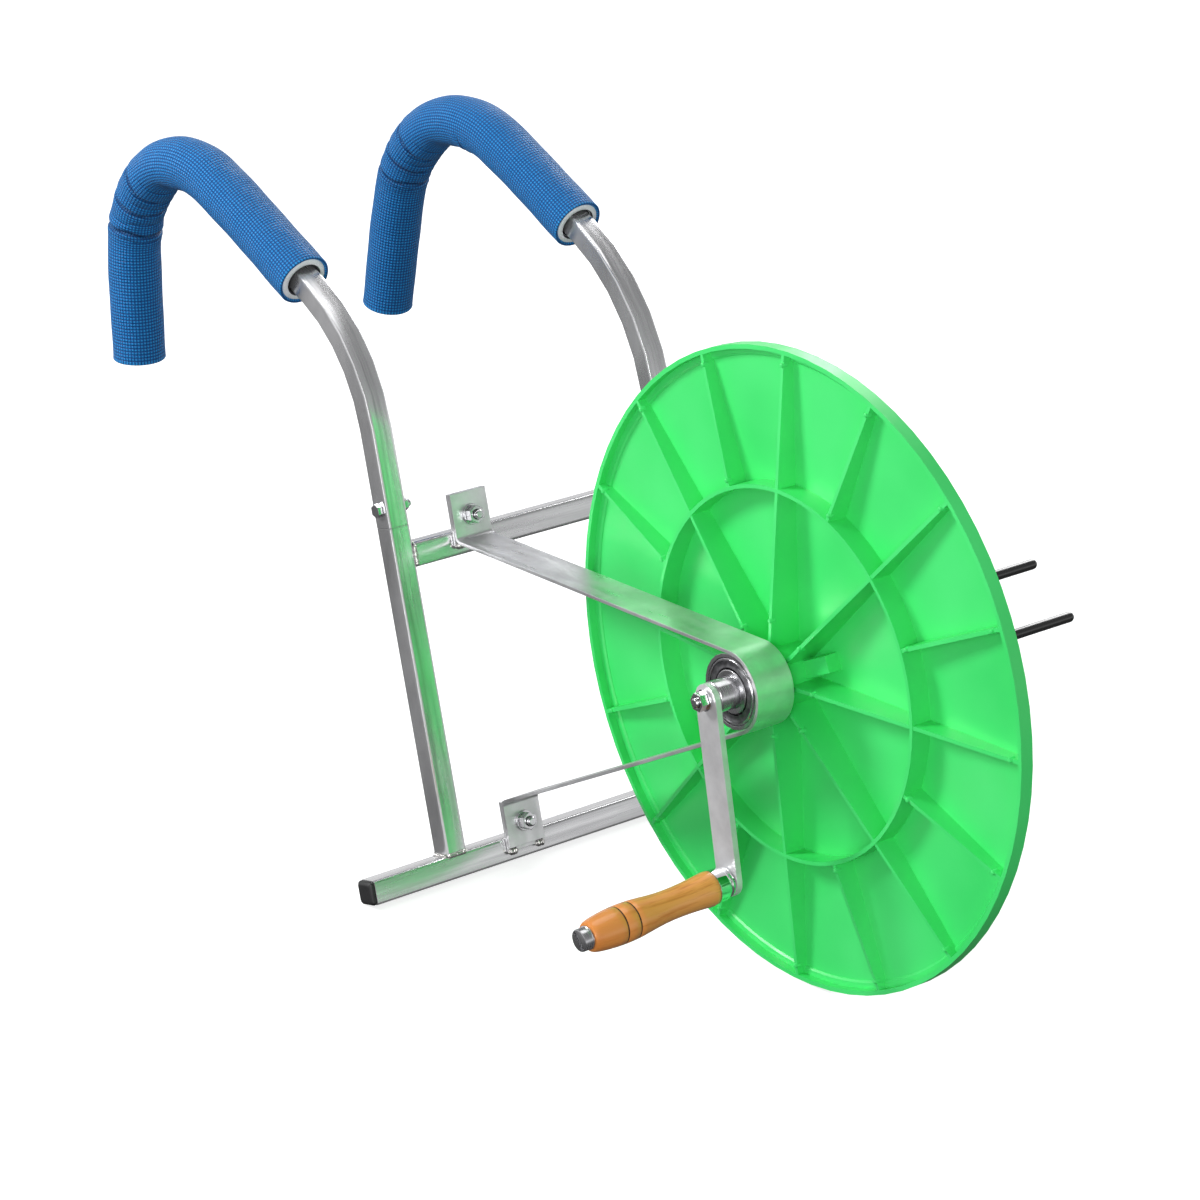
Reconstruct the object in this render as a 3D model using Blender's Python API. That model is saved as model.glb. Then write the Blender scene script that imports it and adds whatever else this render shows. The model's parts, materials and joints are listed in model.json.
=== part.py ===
"""A shoulder-hung winder for lay-flat garden hose.

A leaning tube frame stands on its lower crossbar and carries two padded hooks that go over the
operator's shoulders.  A strap bracket holds a bearing housing out in front of the frame.  The shaft
in it turns a ribbed plastic disc with a two-rod fork on the far side, which the hose is wound on,
and a hand crank on the near side.

Everything is drawn about the shaft: +X runs along the shaft away from the crank, +Y points back to
the operator and +Z is up.  The frame is drawn upright in its own leaning axes (x, out, up), where
"out" is the distance from the shaft to a plane of the frame.  Right and left are the operator's,
who faces -Y, so the right hook is the one at low X.  At the end all of it is moved so that the
origin lies at the bottom centre of the whole winder.
"""

import math

import bmesh
import bpy
from mathutils import Matrix, Vector

MM = 0.001

# Clearances
GAP = 0.3 * MM               # between pieces that touch
RUNNING_GAP = 0.5 * MM       # between faces that slide past each other

# Reel disc
DISC_RADIUS = 250 * MM
DISC_PLATE = 3 * MM
DISC_RIM_DEPTH = 11 * MM
DISC_RIM_WALL = 3.5 * MM
DISC_HUB_RADIUS = 25 * MM
DISC_HUB_DEPTH = 31 * MM     # hub length along the shaft, and rib height there
DISC_RING_RADIUS = 145 * MM
DISC_RING_WALL = 3 * MM
DISC_RIBS = 16               # every second one runs from hub to rim, the others from ring to rim
DISC_TURN = 3.5              # degrees the first rib stands above -Y
RIB_TOP = 3 * MM
RIB_FOOT = 4.4 * MM
KEY_BOX_REACH = 52 * MM      # raised box on the disc beside the hub
KEY_BOX_WIDTH = 13 * MM
KEY_BOX_DEPTH = 15 * MM
KEY_BOX_ANGLE = 27           # degrees above -Y
DISC_SIDES = 72

# Shaft, flange and fork
SHAFT_RADIUS = 12.5 * MM
SHAFT_PAST_FLANGE = 2.2 * MM
FLANGE_RADIUS = 40 * MM
FLANGE_PLATE = 3 * MM
FORK_SPREAD = 26.6 * MM      # rod centre to shaft centre
FORK_ANGLE = 35.3            # degrees above +Y
FORK_RADIUS = 4.3 * MM
FORK_REACH = 261 * MM        # how far a rod stands off the disc's far face
DISC_SCREW_CIRCLE = 19 * MM
DISC_SCREW_RADIUS = 2 * MM
DISC_SCREW_LENGTH = 16 * MM
DISC_SCREW_HEAD = 4 * MM
DISC_SCREWS = 4

# Bearings: two deep-groove ball bearings, 25 x 52 x 15
BEARING_RADIUS = 26 * MM
BEARING_WIDTH = 15 * MM
BALL_CIRCLE = 19.5 * MM
BALL_RADIUS = 3.7 * MM
BALLS = 9
GROOVE_RADIUS = BALL_RADIUS + 0.4 * MM
OUTER_LAND = 22.6 * MM
INNER_LAND = 17.3 * MM
SHIELD_SEAT = 24.2 * MM
SHIELD_BORE = 18.4 * MM
SHIELD_PLATE = 0.9 * MM
BEARING_SHOULDER = 2.4 * MM  # ridge between the two bearings in the housing
HOUSING_WALL = 3.1 * MM
HOUSING_RECESS = 1.2 * MM    # housing's near end, behind the strap's edge
HOUSING_TO_DISC = 3.5 * MM   # free space between the strap and the disc's hub
ROUND_SIDES = 24

# Strap bracket and its mount plates
STRAP_WIDTH = 35 * MM
STRAP_PLATE = 3 * MM
STRAP_BEND = 5 * MM          # centre-line radius of the bends at the tabs
TAB_LENGTH = 38.6 * MM
MOUNT_PLATE = 3 * MM
UPPER_TAB_DROP = 8 * MM      # tab's bend below the upper crossbar's top
LOWER_TAB_RISE = 30.5 * MM   # tab's bend above the lower crossbar's top
PLATE_PAST_TAB = 3.5 * MM

# Frame
LEAN = 15.4                  # degrees the frame leans back
FRAME_REACH = 331.5 * MM     # shaft to the frame's front plane
FRAME_WIDTH = 278.3 * MM     # between the uprights' centres
FRAME_CENTRE = 33.6 * MM     # frame's centre along the shaft
TUBE = 20 * MM
TUBE_WALL = 1.2 * MM
TUBE_CORNER = 3 * MM
FOOT_TUBE = 20 * MM
FOOT_WALL = 1.5 * MM
FOOT_CORNER = 2.5 * MM
FOOT_OVERHANG = 81.5 * MM    # lower crossbar past an upright's centre
FOOT_PLUG_HEAD = 5 * MM
UPPER_BAR_RISE = 234.5 * MM  # between the crossbars
UPRIGHT_LENGTH = 269.5 * MM
SPIGOT_HALF = 38 * MM
HOOK_BOLT_RISE = 15 * MM     # cross bolt above the seam
PLUG_STEM = 14 * MM
HOOK_PLUG_HEAD = 3 * MM

# Hooks: straight, first bend, straight, second bend, straight
HOOKS = {
    "right": {
        "side": -1,
        "rise": 79 * MM, "bend_1": 52.0, "radius_1": 141 * MM,
        "shoulder": 146 * MM, "bend_2": 113.0, "radius_2": 101 * MM,
        "drop": 84 * MM, "foam_start": 222 * MM,
    },
    "left": {
        "side": 1,
        "rise": 52 * MM, "bend_1": 51.0, "radius_1": 178 * MM,
        "shoulder": 119 * MM, "bend_2": 102.0, "radius_2": 115 * MM,
        "drop": 100 * MM, "foam_start": 217 * MM,
    },
}
BEND_STEP = 11.0             # degrees of bend between a hook's stations
FOAM_WALL = 9.3 * MM         # foam and cover
FOAM_SLACK = 0.8 * MM        # between the tube's corners and the foam's round bore
FOAM_FLARE = 2.1 * MM        # how much wider the bore is where the tube goes in
FOAM_COVER = 1.2 * MM
FOAM_PAST_TUBE = 7 * MM

# Crank
ARM_WIDTH = 24 * MM
ARM_PLATE = 5 * MM
ARM_LENGTH = 140 * MM        # shaft centre to grip centre
ARM_ANGLE = 11.4             # degrees from straight down towards -Y
SHAFT_PAST_STRAP = 17.7 * MM
GRIP_DROOP = 2.5             # degrees the grip's spindle hangs below the shaft's direction
STUD_RADIUS = 4 * MM
STUD_DEPTH = 22 * MM
STUD_PAST_NUT = 2.4 * MM
SPINDLE_RADIUS = 4.7 * MM
SPINDLE_HEAD = 8 * MM
SPINDLE_HEAD_DEPTH = 3 * MM
COLLAR_RADIUS = 11.6 * MM
COLLAR_WIDTH = 3.5 * MM
FERRULE_LENGTH = 11 * MM
FERRULE_WALL = 1.4 * MM
FERRULE_END = 2.5 * MM
GRIP_LENGTH = 114.5 * MM
GRIP_NECK = 11.8 * MM        # radius of the wood inside the ferrule
GRIP_RADII = (               # share of the grip's length from the ferrule, radius
    (0.0, 13.2 * MM), (0.02, 13.5 * MM), (0.12, 12.6 * MM), (0.28, 11.7 * MM), (0.42, 12.0 * MM),
    (0.56, 13.6 * MM), (0.66, 14.7 * MM), (0.76, 14.8 * MM), (0.88, 13.9 * MM), (0.97, 12.4 * MM),
    (1.0, 11.0 * MM),
)
GRIP_NUT_RADIUS = 9.2 * MM
GRIP_NUT_DEPTH = 8 * MM

# Fasteners: thread radius, across flats, nut height, washer radius, washer height
M6 = {"radius": 3 * MM, "flats": 10 * MM, "height": 5 * MM, "washer": 6 * MM, "plate": 1.6 * MM}
M8 = {"radius": 4 * MM, "flats": 13 * MM, "height": 6.5 * MM, "washer": 8.5 * MM, "plate": 1.6 * MM}
BOLT_PAST_NUT = 4 * MM

# Places that follow from the sizes above, along the shaft from the disc's near rim edge
DISC_FAR = DISC_RIM_DEPTH
PLATE_NEAR = DISC_FAR - DISC_PLATE
HUB_NEAR = DISC_FAR - DISC_HUB_DEPTH
FLANGE_NEAR = DISC_FAR + GAP
FLANGE_FAR = FLANGE_NEAR + FLANGE_PLATE
SHAFT_FAR = FLANGE_FAR + SHAFT_PAST_FLANGE
STRAP_FAR = HUB_NEAR - HOUSING_TO_DISC
STRAP_NEAR = STRAP_FAR - STRAP_WIDTH
STRAP_MIDDLE = (STRAP_NEAR + STRAP_FAR) / 2
BEARING_OFFSET = (BEARING_WIDTH + BEARING_SHOULDER) / 2 + GAP
ARM_FAR = STRAP_NEAR - SHAFT_PAST_STRAP
SHAFT_NEAR = ARM_FAR + GAP
ARM_NEAR = ARM_FAR - ARM_PLATE
SIN_DROOP = math.sin(math.radians(GRIP_DROOP))
COLLAR_FAR = ARM_NEAR - GAP - COLLAR_RADIUS * SIN_DROOP
COLLAR_NEAR = COLLAR_FAR - COLLAR_WIDTH
FERRULE_FAR = COLLAR_NEAR - RUNNING_GAP
FERRULE_NEAR = FERRULE_FAR - FERRULE_LENGTH
GRIP_FAR = FERRULE_NEAR - GAP
GRIP_NEAR = GRIP_FAR - GRIP_LENGTH
GRIP_NUT_FAR = GRIP_NEAR - RUNNING_GAP
GRIP_NUT_NEAR = GRIP_NUT_FAR - GRIP_NUT_DEPTH
SPINDLE_NEAR = GRIP_NUT_FAR - GRIP_NUT_DEPTH * 0.6
BORE_RADIUS = BEARING_RADIUS + 1.3 * GAP
HOUSING_RADIUS = BORE_RADIUS + HOUSING_WALL
STRAP_RADIUS = HOUSING_RADIUS + 1.7 * GAP + STRAP_PLATE / 2
RACE_BORE = SHAFT_RADIUS + GAP

# Places in the frame's leaning axes
FLOOR = -DISC_RADIUS * math.cos(math.pi / DISC_SIDES)
SIN_LEAN = math.sin(math.radians(LEAN))
COS_LEAN = math.cos(math.radians(LEAN))
FOOT_EDGE_OUT = FRAME_REACH + FOOT_TUBE - FOOT_CORNER  # centre of the rounded edge the frame stands on
FOOT_LOW = (FLOOR + FOOT_CORNER + FOOT_EDGE_OUT * SIN_LEAN) / COS_LEAN - FOOT_CORNER
FOOT_TOP = FOOT_LOW + FOOT_TUBE
UPRIGHT_LOW = FOOT_TOP + GAP
UPRIGHT_TOP = UPRIGHT_LOW + UPRIGHT_LENGTH
UPPER_BAR_LOW = FOOT_TOP + UPPER_BAR_RISE
TUBE_OUT = FRAME_REACH + TUBE / 2
FOOT_OUT = FRAME_REACH + FOOT_TUBE / 2
SEAM = UPRIGHT_TOP + GAP
FOAM_BORE = (TUBE / 2 - TUBE_CORNER) * math.sqrt(2) + TUBE_CORNER + FOAM_SLACK
FOAM_MOUTH = FOAM_BORE + FOAM_FLARE
FOAM_RADIUS = FOAM_BORE + FOAM_WALL
PLATE_BACK = FRAME_REACH - GAP
PLATE_FRONT = PLATE_BACK - MOUNT_PLATE
TAB_BACK = PLATE_FRONT - GAP
TAB_FRONT = TAB_BACK - STRAP_PLATE
TAB_OUT = (TAB_BACK + TAB_FRONT) / 2
UPPER_TAB = UPPER_BAR_LOW + TUBE - UPPER_TAB_DROP
LOWER_TAB = FOOT_TOP + LOWER_TAB_RISE


# ---------------------------------------------------------------- helpers

def clear_scene():
    for item in list(bpy.data.objects):
        bpy.data.objects.remove(item, do_unlink=True)


def material(name, colour, roughness, metallic=0.0):
    made = bpy.data.materials.new(name)
    made.use_nodes = True
    shader = made.node_tree.nodes["Principled BSDF"]
    shader.inputs["Base Color"].default_value = (*colour, 1.0)
    shader.inputs["Roughness"].default_value = roughness
    shader.inputs["Metallic"].default_value = metallic
    made.diffuse_color = (*colour, 1.0)
    return made


def axis_empty(name, parent=None, location=(0, 0, 0), lean=0.0):
    empty = bpy.data.objects.new(name, None)
    empty.location = location
    empty.rotation_euler.x = -math.radians(lean)
    empty.parent = parent
    bpy.context.scene.collection.objects.link(empty)
    return empty


def solid(name, parent, loops, stuff, hollow=False, smooth=None):
    """Skin the loops, one after another, into a closed solid.

    Each loop has the same number of points.  The two end loops are capped, or with hollow the last
    is joined back to the first, which makes a tube or a ring.
    """
    mesh = bmesh.new()
    rows = [[mesh.verts.new(point) for point in loop] for loop in loops]
    count = len(loops[0])
    pairs = list(zip(rows, rows[1:]))
    if hollow:
        pairs.append((rows[-1], rows[0]))
    else:
        mesh.faces.new(rows[0])
        mesh.faces.new(rows[-1])
    for row, following in pairs:
        for i in range(count):
            j = (i + 1) % count
            mesh.faces.new((row[i], row[j], following[j], following[i]))
    bmesh.ops.recalc_face_normals(mesh, faces=mesh.faces)
    data = bpy.data.meshes.new(name)
    mesh.to_mesh(data)
    mesh.free()
    if smooth:
        data.shade_smooth()
        data.set_sharp_from_angle(angle=math.radians(smooth))
    made = bpy.data.objects.new(name, data)
    made.data.materials.append(stuff)
    made.parent = parent
    bpy.context.scene.collection.objects.link(made)
    return made


def as_tool(tool):
    """Mark an object as a cutter or a piece to be merged, which is not part of the winder."""
    tool.hide_render = True
    tool.display_type = "WIRE"
    return tool


def combine(target, tool, operation="DIFFERENCE"):
    boolean = target.modifiers.new(tool.name, "BOOLEAN")
    boolean.operation = operation
    boolean.solver = "EXACT"
    boolean.object = as_tool(tool)
    return target


def circle(radius, sides, turn=0.5):
    """Points of a circle, turned by a share of one side, so that 0.5 puts a flat at the bottom."""
    steps = [(i + turn) * math.tau / sides for i in range(sides)]
    return [(radius * math.sin(step), -radius * math.cos(step)) for step in steps]


def rounded_square(side, corner, per_corner=3):
    """A square with rounded corners, starting at the same place and going the same way as circle."""
    half = side / 2 - corner
    points = []
    for quarter, (sx, sy) in enumerate(((1, -1), (1, 1), (-1, 1), (-1, -1))):
        for k in range(per_corner):
            turn = math.radians(90) * (quarter + k / (per_corner - 1))
            points.append((sx * half + corner * math.sin(turn), sy * half - corner * math.cos(turn)))
    return points


def hexagon(flats, sides=12):
    """A hexagon with a point at each corner and at the middle of each side."""
    points = []
    for i in range(sides):
        radius = flats / 2 if i % 2 else flats / 2 / math.cos(math.pi / 6)
        step = (i + 0.5) * math.tau / sides
        points.append((radius * math.sin(step), -radius * math.cos(step)))
    return points


def across_shaft(section, x, centre=(0.0, 0.0)):
    """Place a section at right angles to the shaft."""
    return [(x, centre[0] + a, centre[1] + b) for a, b in section]


def turned(name, parent, profile, stuff, sides=ROUND_SIDES, hollow=False, centre=(0.0, 0.0)):
    """Turn a profile of (x, radius) points about the X axis."""
    loops = [across_shaft(circle(radius, sides), x, centre) for x, radius in profile]
    return solid(name, parent, loops, stuff, hollow, smooth=32)


def along(base, heading, section, distance):
    """Place a section at a distance along a heading from a base point."""
    heading = Vector(heading).normalized()
    side = heading.orthogonal().normalized()
    other = heading.cross(side)
    centre = Vector(base) + heading * distance
    return [tuple(centre + side * a + other * b) for a, b in section]


def nut(name, parent, base, heading, size, stuff):
    """A hexagon nut that stands on its base point and grows along the heading."""
    hole = circle(size["radius"] + GAP, 12)
    flats = hexagon(size["flats"])
    high = size["height"]
    loops = [along(base, heading, flats, 0), along(base, heading, flats, high)]
    loops += [along(base, heading, hole, high), along(base, heading, hole, 0)]
    return solid(name, parent, loops, stuff, hollow=True)


def washer(name, parent, base, heading, size, stuff):
    rim = circle(size["washer"], 16)
    hole = circle(size["radius"] + GAP, 16)
    high = size["plate"]
    loops = [along(base, heading, rim, 0), along(base, heading, rim, high)]
    loops += [along(base, heading, hole, high), along(base, heading, hole, 0)]
    return solid(name, parent, loops, stuff, hollow=True, smooth=40)


def bolt(name, parent, base, heading, size, length, stuff):
    """A hexagon bolt: the head stands behind its base point and the shank grows along the heading."""
    flats = hexagon(size["flats"])
    loops = [along(base, heading, flats, -size["height"] * 0.8), along(base, heading, flats, 0)]
    shank = circle(size["radius"], 12)
    tip = circle(size["radius"] * 0.75, 12)
    loops += [along(base, heading, shank, 0), along(base, heading, shank, length - size["radius"] * 0.3)]
    loops.append(along(base, heading, tip, length))
    return solid(name, parent, loops, stuff, smooth=40)


def drill(name, target, base, heading, radius, before, after, sides=12):
    """Cut a round hole through the target along a heading."""
    hole = circle(radius, sides)
    loops = [along(base, heading, hole, -before), along(base, heading, hole, after)]
    return combine(target, solid(name, target.parent, loops, target.active_material))


# ---------------------------------------------------------------- materials

def make_materials():
    return {
        "zinc": material("bright_zinc_steel", (0.62, 0.63, 0.64), 0.28, 1.0),
        "chrome": material("bright_chrome", (0.74, 0.75, 0.77), 0.12, 1.0),
        "bearing": material("bearing_steel", (0.5, 0.5, 0.52), 0.2, 1.0),
        "shield": material("dull_shield_steel", (0.34, 0.35, 0.36), 0.4, 1.0),
        "green": material("green_plastic", (0.02, 0.56, 0.14), 0.4),
        "black": material("black_plastic", (0.012, 0.012, 0.013), 0.45),
        "foam": material("white_foam", (0.84, 0.86, 0.88), 0.8),
        "blue": material("blue_cover", (0.01, 0.13, 0.42), 0.6),
        "wood": material("varnished_wood", (0.56, 0.2, 0.05), 0.25),
    }


# ---------------------------------------------------------------- reel

def disc_profile():
    """The disc's section without its ribs, from the bore outwards and back along the far face."""
    bore = SHAFT_RADIUS + GAP
    ring_high = rib_height(DISC_RING_RADIUS)
    ring_in = DISC_RING_RADIUS - DISC_RING_WALL / 2
    ring_out = DISC_RING_RADIUS + DISC_RING_WALL / 2
    rim_in = DISC_RADIUS - DISC_RIM_WALL
    return [
        (DISC_FAR, bore), (HUB_NEAR, bore), (HUB_NEAR, DISC_HUB_RADIUS), (PLATE_NEAR, DISC_HUB_RADIUS),
        (PLATE_NEAR, ring_in), (ring_high, ring_in), (ring_high, ring_out), (PLATE_NEAR, ring_out),
        (PLATE_NEAR, rim_in), (0.0, rim_in), (0.0, DISC_RADIUS), (DISC_FAR, DISC_RADIUS),
    ]


def rib_height(radius):
    """Where a rib's near edge lies along the shaft: it falls in a straight line from hub to rim."""
    share = (radius - DISC_HUB_RADIUS) / (DISC_RADIUS - DISC_HUB_RADIUS)
    return HUB_NEAR * (1 - share)


def disc_bar(name, parent, angle, inner, outer, high_in, high_out, top, foot, stuff):
    """A bar that stands on the disc's plate along a radius, a little thicker at its foot."""
    out = Vector((0, -math.cos(math.radians(angle)), math.sin(math.radians(angle))))
    side = Vector((0, out.z, -out.y))
    base = PLATE_NEAR + DISC_PLATE / 2
    loops = []
    for radius, high in ((inner, high_in), (outer, high_out)):
        corners = ((base, foot), (high, top), (high, -top), (base, -foot))
        loops.append([out * radius + side * wide / 2 + Vector((x, 0, 0)) for x, wide in corners])
    return solid(name, parent, loops, stuff)


def build_disc(parent, stuff):
    disc = turned("reel_disc", parent, disc_profile(), stuff["green"], DISC_SIDES, hollow=True)
    for i in range(DISC_RIBS):
        whole = i % 2 == 0
        start = DISC_HUB_RADIUS - 2 * MM if whole else DISC_RING_RADIUS
        end = DISC_RADIUS - DISC_RIM_WALL / 2
        angle = DISC_TURN + i * 360 / DISC_RIBS
        # The rib's end inside the rim stays just under the rim's edge
        heights = (rib_height(start) + 0.4 * MM, rib_height(end) + 0.4 * MM)
        rib = disc_bar(f"rib_{i}", parent, angle, start, end, *heights, RIB_TOP, RIB_FOOT, stuff["green"])
        combine(disc, rib, "UNION")
    high = DISC_FAR - KEY_BOX_DEPTH
    box = disc_bar(
        "key_box", parent, KEY_BOX_ANGLE, DISC_HUB_RADIUS - 2 * MM, KEY_BOX_REACH,
        high, high, KEY_BOX_WIDTH, KEY_BOX_WIDTH + 0.6 * MM, stuff["green"],
    )
    combine(disc, box, "UNION")
    for i in range(DISC_SCREWS):
        hole = DISC_SCREW_RADIUS + GAP
        depth = FLANGE_FAR - DISC_SCREW_LENGTH - 1 * MM
        past = DISC_FAR - depth + 5 * MM
        drill(f"disc_screw_hole_{i}", disc, (depth, *screw_place(i)), (1, 0, 0), hole, 0, past, 8)
    return disc


def screw_place(i):
    angle = math.radians(FORK_ANGLE + 45 + i * 360 / DISC_SCREWS)
    return DISC_SCREW_CIRCLE * math.cos(angle), DISC_SCREW_CIRCLE * math.sin(angle)


def build_flange(parent, stuff):
    bore = SHAFT_RADIUS + GAP
    profile = [
        (FLANGE_NEAR, bore), (FLANGE_NEAR, FLANGE_RADIUS), (FLANGE_FAR, FLANGE_RADIUS), (FLANGE_FAR, bore),
    ]
    flange = turned("hub_flange", parent, profile, stuff["zinc"], hollow=True)
    for i in range(DISC_SCREWS):
        place = (FLANGE_NEAR, *screw_place(i))
        hole = DISC_SCREW_RADIUS + GAP
        drill(f"flange_hole_{i}", flange, place, (1, 0, 0), hole, 2 * MM, FLANGE_PLATE + 2 * MM, 8)
        under = FLANGE_FAR + GAP
        screw = [
            (under + 2.2 * MM, DISC_SCREW_HEAD * 0.6), (under + 1.5 * MM, DISC_SCREW_HEAD),
            (under, DISC_SCREW_HEAD), (under, DISC_SCREW_RADIUS),
            (FLANGE_FAR - DISC_SCREW_LENGTH, DISC_SCREW_RADIUS * 0.6),
        ]
        turned(f"disc_screw_{i + 1}", parent, screw, stuff["zinc"], 8, centre=screw_place(i))


def build_fork(parent, stuff):
    near = FLANGE_FAR + GAP
    far = DISC_FAR + FORK_REACH
    for name, half_turn in (("fork_rod_back", 0), ("fork_rod_front", 180)):
        angle = math.radians(FORK_ANGLE + half_turn)
        centre = (FORK_SPREAD * math.cos(angle), FORK_SPREAD * math.sin(angle))
        turns = [math.radians(degrees) for degrees in (0, 25, 50, 72)]
        nose = [(far - FORK_RADIUS * (1 - math.sin(turn)), FORK_RADIUS * math.cos(turn)) for turn in turns]
        turned(name, parent, [(near, FORK_RADIUS)] + nose, stuff["black"], 16, centre=centre)


def build_shaft(parent, stuff):
    bottom = SHAFT_NEAR + STUD_DEPTH
    chamfer = 0.8 * MM
    hole = STUD_RADIUS + GAP
    profile = [
        (bottom, hole), (SHAFT_NEAR, hole), (SHAFT_NEAR, SHAFT_RADIUS - chamfer),
        (SHAFT_NEAR + chamfer, SHAFT_RADIUS), (SHAFT_FAR - chamfer, SHAFT_RADIUS),
        (SHAFT_FAR, SHAFT_RADIUS - chamfer),
    ]
    turned("shaft", parent, profile, stuff["zinc"])
    near = BEARING_FAR_FACE + GAP
    far = HUB_NEAR - GAP
    spacer = [(near, RACE_BORE), (near, INNER_LAND - 1 * MM), (far, INNER_LAND - 1 * MM), (far, RACE_BORE)]
    turned("hub_spacer", parent, spacer, stuff["zinc"], hollow=True)


# ---------------------------------------------------------------- bearings

BEARINGS = {"near": STRAP_MIDDLE - BEARING_OFFSET, "far": STRAP_MIDDLE + BEARING_OFFSET}
BEARING_FAR_FACE = BEARINGS["far"] + BEARING_WIDTH / 2


def groove(land, sign):
    """Points of a ball groove in a race, from low x to high x; sign is 1 in the outer race."""
    start = math.acos(abs(land - BALL_CIRCLE) / GROOVE_RADIUS)
    turns = [start * step for step in (-1, -1 / 3, 1 / 3, 1)]
    return [(GROOVE_RADIUS * math.sin(t), BALL_CIRCLE + sign * GROOVE_RADIUS * math.cos(t)) for t in turns]


def shifted(profile, x):
    return [(x + a, radius) for a, radius in profile]


def outer_race_profile():
    half = BEARING_WIDTH / 2
    step = half - SHIELD_PLATE - 1.1 * MM
    edge = 0.6 * MM
    return [
        (half, SHIELD_SEAT), (half, BEARING_RADIUS - edge), (half - edge, BEARING_RADIUS),
        (edge - half, BEARING_RADIUS), (-half, BEARING_RADIUS - edge), (-half, SHIELD_SEAT),
        (-step, SHIELD_SEAT), (-step, OUTER_LAND), *groove(OUTER_LAND, 1),
        (step, OUTER_LAND), (step, SHIELD_SEAT),
    ]


def inner_race_profile():
    half = BEARING_WIDTH / 2
    edge = 0.6 * MM
    return [
        (-half, RACE_BORE), (-half, INNER_LAND - edge), (edge - half, INNER_LAND),
        *groove(INNER_LAND, -1), (half - edge, INNER_LAND), (half, INNER_LAND - edge), (half, RACE_BORE),
    ]


def build_ball_cage(name, parent, x, stuff):
    wall = 1.2 * MM
    half = BALL_RADIUS + 0.8 * MM
    ring = [
        (x - half, BALL_CIRCLE - wall), (x - half, BALL_CIRCLE + wall),
        (x + half, BALL_CIRCLE + wall), (x + half, BALL_CIRCLE - wall),
    ]
    cage = turned(name, parent, ring, stuff["bearing"], 18, hollow=True)
    for i in range(BALLS):
        turn = math.tau * i / BALLS
        centre = (BALL_CIRCLE * math.cos(turn), BALL_CIRCLE * math.sin(turn))
        rows = [math.radians(degrees) for degrees in (-65, -22, 22, 65)]
        profile = [(x + BALL_RADIUS * math.sin(row), BALL_RADIUS * math.cos(row)) for row in rows]
        ball = turned(f"{name}_ball_{i}", parent, profile, stuff["bearing"], 8, centre=centre)
        combine(cage, ball, "UNION")


def build_bearing(place, x, still, cages, turning, stuff):
    turned(f"outer_race_{place}", still, shifted(outer_race_profile(), x), stuff["bearing"], hollow=True)
    turned(f"inner_race_{place}", turning, shifted(inner_race_profile(), x), stuff["bearing"], hollow=True)
    build_ball_cage(f"ball_cage_{place}", cages, x, stuff)
    outward = -1 if place == "near" else 1
    inside = x + outward * (BEARING_WIDTH / 2 - SHIELD_PLATE - 0.7 * MM)
    outside = inside + outward * SHIELD_PLATE
    rim = SHIELD_SEAT - GAP
    plate = [(inside, SHIELD_BORE), (inside, rim), (outside, rim), (outside, SHIELD_BORE)]
    turned(f"bearing_shield_{place}", still, plate, stuff["shield"], hollow=True)


def build_housing(parent, stuff):
    low = STRAP_NEAR + HOUSING_RECESS
    high = STRAP_FAR - GAP
    ridge_low = STRAP_MIDDLE - BEARING_SHOULDER / 2
    ridge_high = STRAP_MIDDLE + BEARING_SHOULDER / 2
    profile = [
        (low, BORE_RADIUS), (low, HOUSING_RADIUS), (high, HOUSING_RADIUS), (high, BORE_RADIUS),
        (ridge_high, BORE_RADIUS), (ridge_high, OUTER_LAND),
        (ridge_low, OUTER_LAND), (ridge_low, BORE_RADIUS),
    ]
    turned("bearing_housing", parent, profile, stuff["zinc"], hollow=True)


# ---------------------------------------------------------------- strap bracket

def arc(centre, radius, start, end, steps):
    """Stations on an arc: (out, up, heading), with the angles in degrees."""
    sign = 1 if end > start else -1
    stations = []
    for i in range(steps + 1):
        turn = math.radians(start + (end - start) * i / steps)
        place = (centre[0] + radius * math.cos(turn), centre[1] + radius * math.sin(turn))
        stations.append((*place, turn + sign * math.pi / 2))
    return stations


def strap_leg(up, sign):
    """Half of the strap's centre line, from the tab's free end to where it meets the housing."""
    corner = Vector((TAB_OUT, up))
    distance = corner.length
    to_shaft = math.atan2(corner.y, corner.x)
    touch = to_shaft + sign * math.acos(STRAP_RADIUS / distance)
    point = Vector((STRAP_RADIUS * math.cos(touch), STRAP_RADIUS * math.sin(touch)))
    leg = (point - corner).normalized()
    tab = Vector((0, sign))
    bend = tab.angle(leg)
    setback = STRAP_BEND / math.tan(bend / 2)
    centre = corner + (tab + leg).normalized() * (STRAP_BEND / math.sin(bend / 2))
    start = corner + tab * setback - centre
    end = corner + leg * setback - centre
    low = math.degrees(math.atan2(start.y, start.x))
    high = math.degrees(math.atan2(end.y, end.x))
    turn = (high - low + 180) % 360 - 180
    tip = (corner.x, corner.y + sign * TAB_LENGTH, -sign * math.pi / 2)
    return [tip] + arc(centre, STRAP_BEND, low, low + turn, 4), math.degrees(touch)


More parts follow.
